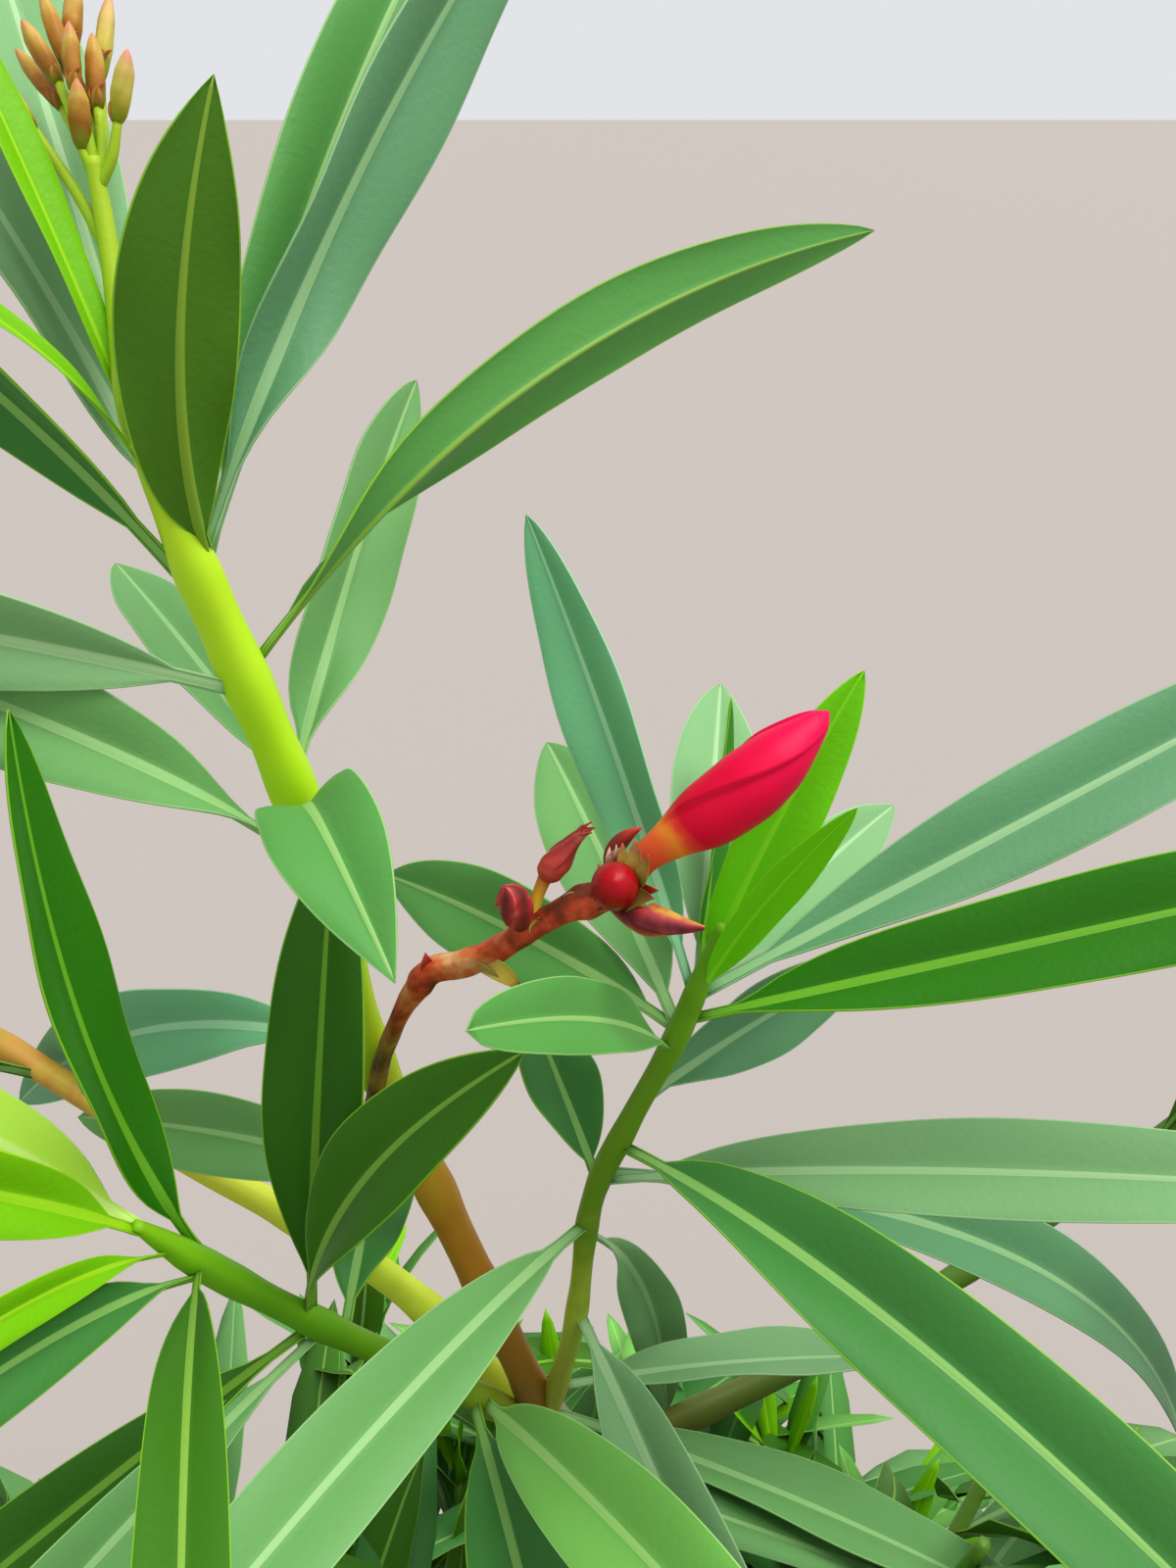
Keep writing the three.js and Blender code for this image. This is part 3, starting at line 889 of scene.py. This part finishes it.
def shootRadius(limb, nodes):
    def radiusAt(share, angle):
        swell = np.zeros_like(share)
        for place in nodes:
            apart = (share - place) * limb.length / relief["nodeWidth"]
            swell += relief["nodeSwell"] * np.exp(-(apart**2))
        corners = relief["angles"] * np.cos(3 * angle + share * 5)
        return limb.radius(share) * (1 + swell + corners)
    return radiusAt


wood = Piece("woody_stem")
addTube(wood, trunk, bark, 48, 220, barkRadius(trunk, stem["flare"] * mm, stem["flareShare"]))
lowNames = [name for name in boughs if name.startswith("low")]
for name in lowNames:
    addTube(wood, limbs[name], bark, 16, 70, barkRadius(limbs[name]))
wood.finish("bark", "trunk", *["bough_" + name for name in lowNames])

# The shares of each green shoot where it swells at its nodes, and its colours from foot to tip
shoots = {
    "left": ((0.05, 0.2, 0.34, 0.5, 0.74, 0.82, 0.9, 0.97), [
        (0, (0.24, 0.15, 0.02)), (0.22, (0.42, 0.15, 0.010)), (0.38, (0.46, 0.26, 0.012)),
        (0.48, (0.36, 0.50, 0.010)), (0.75, (0.42, 0.72, 0.005)), (0.95, (0.46, 0.72, 0.008))]),
    "right": ((0.1, 0.29, 0.47, 0.58, 0.65, 0.83, 0.91, 0.97), [
        (0, (0.48, 0.48, 0.06)), (0.3, (0.42, 0.52, 0.04)), (0.48, (0.140, 0.26, 0.006)),
        (0.8, (0.120, 0.27, 0.005)), (1, (0.16, 0.40, 0.005))]),
    "near": ((0.18, 0.61, 0.8, 0.88, 0.96), [
        (0, (0.34, 0.36, 0.02)), (0.3, (0.16, 0.30, 0.008)), (0.6, (0.110, 0.32, 0.004)),
        (0.85, (0.15, 0.42, 0.004)), (1, (0.20, 0.48, 0.003))]),
    "far_left": ((0.2, 0.4, 0.6, 0.8), [
        (0, (0.40, 0.44, 0.02)), (0.3, (0.66, 0.82, 0.04)), (0.55, (0.78, 0.78, 0.05)),
        (0.75, (0.66, 0.30, 0.05)), (0.9, (0.40, 0.34, 0.03)), (1, (0.26, 0.40, 0.02))]),
    "far_right": ((0.2, 0.4, 0.6, 0.8), [
        (0, (0.14, 0.11, 0.02)), (0.4, (0.08, 0.17, 0.010)), (1, (0.07, 0.22, 0.006))]),
}

for name, (nodes, colours) in shoots.items():
    look = alongLook("shoot_" + name, colours, 0.5, 160, 0.12, 0.00015, Specular_IOR_Level=0.3)
    green = Piece("shoot_" + name)
    addTube(green, limbs[name], look, 24, 120, shootRadius(limbs[name], nodes))
    green.finish("green_shoot", "bough_" + name)
print("stem and boughs made")


# Flower stalk and its buds. Places are (pixel, reach), widths and radii in millimetres.
budSheen = {"Specular_IOR_Level": 0.25}

# For each look its colours from foot to tip, roughness, grain, unevenness and relief
budRecipes = {
    "pedicel": ([(0.0, (0.62, 0.46, 0.08)), (0.55, (0.64, 0.42, 0.015)), (1.0, (0.50, 0.12, 0.02))], 0.5),
    "withered_calyx": ([(0.0, (0.48, 0.060, 0.030)), (0.4, (0.34, 0.030, 0.022)),
                        (0.75, (0.24, 0.025, 0.018)), (1.0, (0.42, 0.10, 0.05))], 0.6, 420, 0.2, 0.0004),
    "red_bract": ([(0.0, (0.16, 0.03, 0.012)), (0.5, (0.22, 0.025, 0.015)),
                   (0.85, (0.50, 0.04, 0.02)), (1.0, (0.42, 0.06, 0.03))], 0.6, 420, 0.25, 0.0004),
    "olive_bract": ([(0.0, (0.34, 0.26, 0.03)), (0.5, (0.38, 0.27, 0.04)),
                     (0.8, (0.24, 0.10, 0.02)), (1.0, (0.42, 0.07, 0.03))], 0.6, 420, 0.3, 0.0004),
    "pale_bract": ([(0.0, (0.45, 0.16, 0.07)), (0.6, (0.62, 0.36, 0.24)), (1.0, (0.70, 0.50, 0.38))], 0.6),
    "yellow_bract": ([(0.0, (0.50, 0.36, 0.14)), (0.4, (0.56, 0.44, 0.06)), (0.72, (0.50, 0.34, 0.03)),
                      (0.85, (0.22, 0.05, 0.02)), (1.0, (0.40, 0.08, 0.04))], 0.6, 500, 0.1),
    "cream_bud": ([(0.0, (0.22, 0.34, 0.012)), (0.15, (0.34, 0.30, 0.012)), (0.4, (0.62, 0.52, 0.080)),
                   (0.75, (0.66, 0.46, 0.130)), (1.0, (0.74, 0.24, 0.20))], 0.5, 300, 0.25),
    "brown_bud": ([(0.0, (0.20, 0.22, 0.010)), (0.25, (0.30, 0.11, 0.008)), (0.5, (0.46, 0.20, 0.020)),
                   (0.75, (0.56, 0.36, 0.060)), (1.0, (0.62, 0.22, 0.12))], 0.5, 300, 0.4),
    "sepal": ([(0.0, (0.30, 0.24, 0.02)), (0.6, (0.50, 0.20, 0.03)), (1.0, (0.30, 0.07, 0.02))], 0.6),
    "bud_stalk": ([(0.0, (0.30, 0.52, 0.01)), (1.0, (0.42, 0.60, 0.02))], 0.5),
}
budLooks = {name: alongLook(name, *recipe, **budSheen) for name, recipe in budRecipes.items()}
budLooks["big_bud"] = alongLook("big_bud", [
    (0.0, (0.220, 0.020, 0.008)), (0.05, (0.420, 0.040, 0.010)), (0.15, (0.660, 0.070, 0.024)),
    (0.24, (0.740, 0.100, 0.024)), (0.29, (0.780, 0.230, 0.020)), (0.33, (0.680, 0.050, 0.020)),
    (0.37, (0.580, 0.000, 0.020)), (0.6, (0.680, 0.000, 0.036)), (1.0, (0.720, 0.000, 0.070)),
], 0.45, 260, 0.035, 0.0001, Specular_IOR_Level=0.12)
budLooks["round_bud"] = alongLook("round_bud", [
    (0.0, (0.10, 0.008, 0.005)), (0.35, (0.17, 0.001, 0.002)), (0.8, (0.29, 0.000, 0.003)),
    (1.0, (0.42, 0.001, 0.008)),
], 0.35, uneven=0.04, Specular_IOR_Level=0.2)
budLooks["pointed_bud"] = streakedLook("pointed_bud", [
    (0.15, (0.10, 0.008, 0.012)), (0.4, (0.28, 0.025, 0.030)), (0.6, (0.42, 0.050, 0.050)),
    (0.78, (0.56, 0.22, 0.03)), (0.95, (0.62, 0.42, 0.08)),
], 0.5, 2, 0.3, **budSheen)
budLooks["folded_bud"] = streakedLook("folded_bud", [
    (0.1, (0.075, 0.016, 0.008)), (0.4, (0.22, 0.015, 0.012)), (0.7, (0.40, 0.020, 0.030)),
    (0.95, (0.60, 0.14, 0.10)),
], 0.5, 4, 0.35, **budSheen)


def makeStalkLook():
    material = newMaterial("red_stalk", (0.3, 0.06, 0.02), 0.55, **budSheen)
    patches = grain(material, 150, 6)
    red = ramp(material, patches, [
        (0.34, (0.080, 0.022, 0.004)), (0.43, (0.260, 0.030, 0.007)), (0.52, (0.560, 0.066, 0.016)),
        (0.60, (0.600, 0.170, 0.040)), (0.70, (0.640, 0.360, 0.150))])
    brown = ramp(material, patches, [
        (0.34, (0.090, 0.042, 0.004)), (0.50, (0.240, 0.130, 0.012)), (0.68, (0.420, 0.320, 0.030))])
    share = times(material, maths(material, "SUBTRACT", placeOf(material, "Y"), 0.22), 7)
    share.node.use_clamp = True  # brown at the foot, red from about a third of the way up
    setColour(material, blended(material, share, brown, red))
    addBump(material, grain(material, 900, 5), 0.6, 0.0003)
    return material


redStalk = makeStalkLook()


def evenProfile(profile):  # 61 radii, smoothed, from (share, radius) pairs
    places, radii = zip(*profile)
    even = np.interp(np.linspace(0, 1, 61), places, radii)
    padded = np.pad(even, 2, mode="reflect", reflect_type="odd")
    soft = np.convolve(padded, np.ones(5) / 5, mode="valid")
    soft[-1] = radii[-1]
    return np.maximum(soft, 0.03)


def addBud(piece, path, profile, look, sides=40, rings=48, petals=5, twist=1.0, depth=0.0, crease=0.0):
    limb = splineLimb(spots(path), (1, 1))
    radii = evenProfile(profile)

    def lapOf(angle):  # how far round its petal a place is, from 0 under the last petal to 1 over the next
        return (petals * angle / math.tau) % 1

    def radiusAt(share, angle):
        lap = lapOf(angle + 1e-6)
        shown = smooth((share - 0.22) / 0.2) * smooth((1.02 - share) / 0.12)
        ledge = (lap**2 - 0.33) * depth - crease * np.exp(-((lap / 0.12) ** 2))
        return np.interp(share, np.linspace(0, 1, 61), radii) * (1 + ledge * shown) * mm

    def turnAt(share, angle):
        return angle + twist * share * math.tau / petals

    addTube(piece, limb, budLooks[look], sides, rings, radiusAt, turnAt)


bractShape = {
    "cup": 40,  # degrees that each side of a bract turns up
    "openCup": 50,
    "arch": 0.15,
    "blunt": 0.25,  # how much of its taper a bract lacks at the foot
    "thickness": 0.3,
}


def addBract(piece, foot, tip, width, look, turn=0, cup=bractShape["cup"]):
    base, end = photoSpot(*foot), photoSpot(*tip)
    ahead = unit(end - base)
    face = turned(towardLens(base, ahead), ahead, turn)
    table, middle, ways, faces, size = leafFrames(base, end, bractShape, face, face)
    blunt = bractShape["blunt"]
    blank = blankBlade("bract")
    x, t, layer = coordinatesOf(blank).T
    half = width / 2 * np.maximum(0.04, np.sin(math.pi * (t * (1 - blunt) + blunt)) ** 0.9)
    bend = x * math.radians(cup)
    rise = half * (1 - np.cos(bend)) * 1.3
    rise += (layer - 0.5) * bractShape["thickness"] * (1 - 0.6 * np.abs(x))
    wide = half * np.sin(bend) / math.sin(math.radians(cup))
    way, up = readRows(t, table, ways), readRows(t, table, faces)
    places = readRows(t, table, middle)
    places += np.cross(way, up) * (wide * mm)[:, None] + up * (rise * mm)[:, None]
    piece.add(blank, places, budLooks[look])


flowerStalk = {
    "path": [((381, 1124), 0.211), ((391, 1080), 0.204), ((407, 1038), 0.196), ((424, 1010), 0.191),
             ((441, 990), 0.188), ((468, 985), 0.186), ((496, 975), 0.184), ((520, 961), 0.181),
             ((546, 944), 0.178), ((580, 927), 0.175), ((612, 915), 0.173), ((636, 908), 0.171)],
    "radii": (1.5, 1.4, 1.35, 1.35, 1.45, 1.95, 1.95, 1.95, 1.95, 1.9, 2.3, 2.2),
    "knots": ((0.464, 0.16), (0.597, 0.12), (0.76, 0.10), (0.914, 0.18)),  # share of the length, swelling
    "knotLong": 0.022,
}

bracts = [  # kind, foot, tip, width, turn
    ("red", ((624, 880), 0.173), ((656, 844), 0.171), 2.6, 200),
    ("red", ((619, 884), 0.174), ((640, 846), 0.173), 2.6, 150),
    ("olive", ((642, 898), 0.168), ((649, 856), 0.166), 2.7, 10),
    ("olive", ((652, 900), 0.167), ((662, 872), 0.164), 2.2, -25),
    ("olive", ((634, 892), 0.169), ((635, 860), 0.168), 2.0, 25),
    ("pale", ((624, 884), 0.170), ((634, 865), 0.168), 1.2, 0),
    ("pale", ((620, 884), 0.170), ((622, 864), 0.169), 1.0, 0),
    ("pale", ((626, 882), 0.170), ((629, 862), 0.168), 0.9, 30),
    ("red", ((640, 912), 0.171), ((672, 909), 0.167), 3.0, 30),
    ("olive", ((634, 925), 0.171), ((668, 917), 0.166), 3.6, -10),
    ("red", ((606, 925), 0.173), ((628, 926), 0.166), 2.6, 30),
    ("red", ((604, 915), 0.174), ((611, 882), 0.170), 2.2, 60),
    ("yellow", ((494, 985), 0.183), ((534, 1012), 0.180), 3.0, 10),
    ("olive", ((488, 980), 0.184), ((516, 1003), 0.181), 2.6, -40),
    ("red", ((438, 990), 0.188), ((434, 972), 0.186), 2.2, 0),
    ("yellow", ((536, 952), 0.178), ((530, 938), 0.175), 1.6, 0),
    ("yellow", ((545, 952), 0.177), ((551, 936), 0.175), 1.5, 20),
    ("pale", ((578, 922), 0.174), ((590, 911), 0.172), 1.4, 0),
]


def makeStalk():
    piece = Piece("bud_stalk")
    stalk = splineLimb(spots(flowerStalk["path"]), np.array(flowerStalk["radii"]) * mm)

    def knobbly(share, angle):
        knots = 0
        for place, size in flowerStalk["knots"]:
            knots = knots + size * np.exp(-(((share - place) / flowerStalk["knotLong"]) ** 2))
        grooves = 0.06 * np.sin(4 * angle + 9 * share) + 0.035 * np.sin(9 * angle - 14 * share)
        dents = 0.04 * np.sin(47 * share + 2 * angle)
        return stalk.radius(share) * (1 + knots + grooves + dents)

    addTube(piece, stalk, redStalk, 28, 110, knobbly)
    for kind, foot, tip, width, turn in bracts:
        addBract(piece, foot, tip, width, kind + "_bract", turn, bractShape["openCup"])
    piece.finish("red_stalk", "flower_stalk")


def makeFlowerBuds():
    piece = Piece("red_buds")
    addBud(piece, [((640, 915), 0.172), ((654, 880), 0.170), ((704, 843), 0.168), ((776, 790), 0.167),
                   ((846, 726), 0.168)],
           [(0, 1.8), (0.08, 1.95), (0.2, 2.25), (0.26, 2.7), (0.42, 4.5), (0.62, 5.2), (0.76, 4.6),
            (0.88, 3.0), (0.95, 1.9), (0.985, 1.1), (1, 0.2)],
           "big_bud", 80, 96, petals=3, twist=1.25, depth=0.15, crease=0.05)
    addBud(piece, [((630, 914), 0.172), ((628, 906), 0.168), ((627, 899), 0.162)],
           [(0, 1.8), (0.22, 2.8), (0.5, 3.4), (0.7, 3.2), (0.86, 2.4), (0.95, 1.3), (1, 0.1)], "round_bud")
    addBud(piece, [((626, 922), 0.173), ((644, 934), 0.170), ((670, 941), 0.167), ((719, 947), 0.164)],
           [(0, 1.1), (0.22, 1.5), (0.46, 2.3), (0.68, 1.7), (0.88, 0.8), (1, 0.3)],
           "pointed_bud", petals=3, depth=0.30)
    addBud(piece, [((535, 946), 0.179), ((530, 935), 0.177), ((523, 920), 0.1745), ((515, 905), 0.1725)],
           [(0, 1.2), (0.25, 2.2), (0.55, 2.6), (0.8, 2.1), (0.95, 1.1), (1, 0.3)],
           "folded_bud", petals=4, twist=1.8, depth=0.26, crease=0.06)
    addBud(piece, [((542, 948), 0.178), ((546, 922), 0.177), ((557, 893), 0.176)],
           [(0, 1.3), (0.2, 1.05), (0.6, 0.9), (1, 1.05)], "pedicel", 20, 20)
    addBud(piece, [((555, 898), 0.176), ((568, 879), 0.1755), ((584, 860), 0.175), ((600, 845), 0.175)],
           [(0, 0.9), (0.1, 1.9), (0.28, 2.1), (0.42, 1.8), (0.65, 1.15), (0.9, 0.75), (1, 0.5)],
           "withered_calyx", petals=5, depth=0.40, crease=0.12)
    for point in range(5):  # the withered calyx's ragged points
        turn = 72 * point
        tip = (602 + 7 * math.cos(math.radians(turn)), 844 + 6 * math.sin(math.radians(turn)))
        addBract(piece, ((590, 856), 0.175), (tip, 0.1745), 1.0, "withered_calyx", turn)
    piece.finish("bud", "flower_buds")


makeStalk()
makeFlowerBuds()

youngBuds = {
    "crown": ((100, 186), 0.156),
    "stalk": [((164, 500), 0.1608), ((148, 460), 0.1596), ((132, 410), 0.1575), ((119, 310), 0.1575),
              ((109, 240), 0.1570), ((100, 190), 0.1560), ((94, 160), 0.155)],
    "stalkRadii": (1.6, 1.9, 1.8, 1.5, 1.3, 1.2, 1.0),
    "sideStalk": [((116, 268), 0.158), ((80, 200), 0.157), ((34, 132), 0.156)],
    "sideRadii": (0.9, 0.7),
    "buds": [  # foot, tip, width
        (((84, 152), 0.155), ((78, 80), 0.152), 3.6), (((60, 84), 0.156), ((22, 20), 0.154), 3.3),
        (((70, 70), 0.157), ((42, -8), 0.156), 3.2), (((76, 92), 0.154), ((70, 22), 0.153), 3.0),
        (((100, 110), 0.156), ((94, 34), 0.155), 3.2), (((120, 124), 0.154), ((130, 50), 0.151), 3.4),
        (((34, 134), 0.156), ((-6, 74), 0.153), 3.4), (((70, 60), 0.159), ((78, -22), 0.159), 3.4),
        (((84, 100), 0.158), ((52, 24), 0.157), 3.0), (((102, 80), 0.159), ((112, -6), 0.159), 3.0),
        (((92, 130), 0.160), ((100, 60), 0.161), 3.2), (((64, 110), 0.160), ((16, 50), 0.160), 3.0),
    ],
    "cream": (5, 6, 9),  # the buds that are cream, and not brown
    "sideShoot": 40,  # buds left of this pixel grow on the side stalk
}


def makeYoungBuds():
    piece = Piece("young_buds")
    green = budLooks["bud_stalk"]
    for path, radii, sides, rings in (("stalk", "stalkRadii", 16, 40), ("sideStalk", "sideRadii", 10, 20)):
        stalk = splineLimb(spots(youngBuds[path]), np.array(youngBuds[radii]) * mm)
        addTube(piece, stalk, green, sides, rings)
    (x, y), reach = youngBuds["crown"]
    for count, (foot, tip, width) in enumerate(youngBuds["buds"]):
        if foot[0][0] > youngBuds["sideShoot"]:
            middle = ((x + foot[0][0]) / 2 + 4, (y + foot[0][1]) / 2 + 8), (reach + foot[1]) / 2
            addBud(piece, [((x, y + 8), reach), middle, foot], [(0, 0.75), (1, 0.6)], "bud_stalk", 8, 8)
        half = width * 0.39
        profile = [(0, 0.7), (0.1, half * 0.8), (0.4, half), (0.7, half * 0.9), (0.9, half / 2), (1, 0.15)]
        look = "cream_bud" if count in youngBuds["cream"] else "brown_bud"
        addBud(piece, [foot, tip], profile, look, 20, 24, depth=0.14, crease=0.06)
        for place in range(3):  # the small sepals at its foot
            spot = [foot[0][k] * 0.66 + tip[0][k] * 0.34 for k in range(2)]
            aside = (place - 1) * 8
            addBract(piece, foot, ((spot[0] + aside, spot[1]), foot[1] - 0.001), 1.7, "sepal", place * 120)
    piece.finish("young_bud", "top_buds")


makeYoungBuds()
print("buds made")


# Pot and soil, in millimetres
pot = {
    "profile": [(0, 0), (83, 0), (86, 3), (118, 181), (127, 184), (130, 187), (130, 222), (127, 225),
                (121, 225), (118, 222), (109, 181), (80, 14), (0, 14)],
    "steps": 96,
    "bevel": 1.6,
    "drains": {"count": 3, "radius": 7, "circle": 42},
}
soil = {"radius": 113.4, "top": 199, "depth": 14, "relief": 3.2, "rings": 45, "steps": 120, "clods": 420,
        "clodSize": (1.2, 4.2)}


def makeClay():
    material = newMaterial("terracotta", (0.5, 0.2, 0.1), 0.9)
    tone = ramp(material, grain(material, 9, 8), [
        (0.3, (0.395, 0.140, 0.065)), (0.5, (0.500, 0.195, 0.095)), (0.7, (0.590, 0.260, 0.140))])
    low = maths(material, "SUBTRACT", 0.55, times(material, placeOf(material, "Z", "Object"), 5))
    salt = maths(material, "ADD", low, times(material, grain(material, 26, 8), 0.9))  # pale, near the foot
    bloom = ramp(material, salt, [(0.62, (0, 0, 0)), (0.95, (0.55, 0.55, 0.55))])
    crust = ramp(material, salt, [(0, (0.62, 0.52, 0.45)), (1, (0.66, 0.57, 0.50))])
    setColour(material, blended(material, bloom, tone, crust))
    addBump(material, grain(material, 420, 6), 0.35, 0.0006)
    return material


def spun(profile, steps):  # (radius, height) pairs, turned about the pot's axis
    bm = bmesh.new()
    line = [bm.verts.new((radius * mm, 0, height * mm)) for radius, height in profile]
    for first, second in zip(line, line[1:]):
        bm.edges.new((first, second))
    bmesh.ops.spin(bm, geom=bm.verts[:] + bm.edges[:], cent=(0, 0, 0), axis=(0, 0, 1), angle=math.tau,
                   steps=steps, use_merge=True)
    bmesh.ops.remove_doubles(bm, verts=bm.verts[:], dist=0.02 * mm)
    bmesh.ops.recalc_face_normals(bm, faces=bm.faces[:])
    return bm


def drainCutter():
    bm = bmesh.new()
    drains = pot["drains"]
    for hole in range(drains["count"]):
        made = bmesh.ops.create_cone(bm, cap_ends=True, segments=32, radius1=drains["radius"] * mm,
                                     radius2=drains["radius"] * mm, depth=0.06)
        angle = hole / drains["count"] * math.tau
        away = Vector((math.cos(angle), math.sin(angle), 0)) * drains["circle"] * mm
        bmesh.ops.translate(bm, verts=made["verts"], vec=away)
    return objectOf("drains", bm)


def makePot():
    bm = spun(pot["profile"], pot["steps"])
    rings = [edge for edge in bm.edges if climbOf(edge) < 0.01 * mm
             and edge.verts[0].co.xy.length > 60 * mm and edge.calc_face_angle(0) > math.radians(12)]
    bmesh.ops.bevel(bm, geom=rings, offset=pot["bevel"] * mm, offset_type="OFFSET", affect="EDGES",
                    segments=3, profile=0.5, material=-1)
    uprights = [edge for edge in bm.edges if climbOf(edge) > 60 * mm]
    bmesh.ops.subdivide_edges(bm, edges=uprights, cuts=40, use_grid_fill=True)
    for vert in bm.verts:  # the slight rings and unevenness of a turned pot
        radius = vert.co.xy.length
        if radius > 70 * mm and vert.co.z > 4 * mm:
            wave = 0.25 * math.sin(vert.co.z / mm * 0.55) + 0.7 * noise.noise(vert.co * 14)
            vert.co.xy *= 1 + wave * mm * 0.5 / radius
    for face in bm.faces:
        face.smooth = True
    piece = objectOf("clay_pot", bm)
    clay = makeClay()
    piece.data.materials.append(clay)
    cutter = drainCutter()
    cut = piece.modifiers.new("drains", "BOOLEAN")
    cut.object = cutter
    cut.solver = "EXACT"
    drained = bpy.data.meshes.new_from_object(piece.evaluated_get(bpy.context.evaluated_depsgraph_get()))
    piece.modifiers.clear()
    piece.data = drained
    bpy.data.objects.remove(cutter)
    drained.materials.clear()
    drained.materials.append(clay)
    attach(piece, "root")
    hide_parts("pot")


def makeSoilLook():
    material = newMaterial("potting_mix", (0.05, 0.03, 0.02), 0.95)
    crumbs = grain(material, 180, 8)
    setColour(material, ramp(material, crumbs, [
        (0.3, (0.018, 0.012, 0.008)), (0.55, (0.060, 0.040, 0.025)), (0.8, (0.140, 0.100, 0.065))]))
    addBump(material, grain(material, 500, 6), 0.7, 0.001)
    return material


def makeSoil():
    chance = random.Random(7)
    profile = [(soil["radius"] * k / soil["rings"], soil["top"]) for k in range(soil["rings"] + 1)]
    profile += [(soil["radius"], soil["top"] - soil["depth"]), (0, soil["top"] - soil["depth"])]
    bm = spun(profile, soil["steps"])
    radius, top = soil["radius"] * mm, soil["top"] * mm
    for vert in bm.verts:
        if vert.co.z > top - mm:
            vert.co.z += noise.fractal(vert.co * 60, 1, 2, 5) * soil["relief"] * mm
    for clod in range(soil["clods"]):
        turn = chance.uniform(0, math.tau)
        away = math.sqrt(chance.uniform(0.02, 0.93)) * (radius - 5 * mm)
        size = chance.uniform(*soil["clodSize"]) * mm
        made = bmesh.ops.create_icosphere(bm, subdivisions=1, radius=size)
        stretch = Vector((chance.uniform(0.6, 1.5), chance.uniform(0.6, 1.2), chance.uniform(0.3, 0.7)))
        bmesh.ops.scale(bm, vec=stretch, verts=made["verts"])
        spin = chance.uniform(0, math.tau)
        for vert in made["verts"]:
            x, y, z = vert.co
            vert.co.x = x * math.cos(spin) - y * math.sin(spin) + away * math.cos(turn)
            vert.co.y = x * math.sin(spin) + y * math.cos(spin) + away * math.sin(turn)
            vert.co.z = z + top + size * 0.1
    piece = objectOf("potting_mix", bm)
    piece.data.materials.append(makeSoilLook())
    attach(piece, "root")
    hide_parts("soil")


makePot()
makeSoil()
print("pot and soil made")


# Stage: a plain pale floor, a pale sky and a soft sun
stage = {
    "floor": 120,
    "floorColour": (0.37, 0.33, 0.30),
    "sky": (0.95, 0.97, 1.0),
    "skyStrength": 0.8,
    "sunStrength": 3.2,
    "sunWidth": 45,  # degrees
    "sunFrom": (0.55, 0.0, 1.2),
}


def makeStage():
    bm = bmesh.new()
    bmesh.ops.create_grid(bm, x_segments=1, y_segments=1, size=stage["floor"])
    floor = objectOf("floor", bm)
    floor.data.materials.append(newMaterial("floor", stage["floorColour"], 0.9, Specular_IOR_Level=0.1))
    world = bpy.data.worlds.new("studio")
    world.use_nodes = True
    background = world.node_tree.nodes["Background"]
    background.inputs["Color"].default_value = (*stage["sky"], 1)
    background.inputs["Strength"].default_value = stage["skyStrength"]
    bpy.context.scene.world = world
    data = bpy.data.lights.new("soft_sun", "SUN")
    data.energy = stage["sunStrength"]
    data.angle = math.radians(stage["sunWidth"])
    sun = bpy.data.objects.new("soft_sun", data)
    sun.rotation_euler = Vector(stage["sunFrom"]).to_track_quat("Z", "Y").to_euler()
    bpy.context.collection.objects.link(sun)
    bpy.context.scene.view_settings.view_transform = "Standard"


makeStage()
print("stage and lights made")
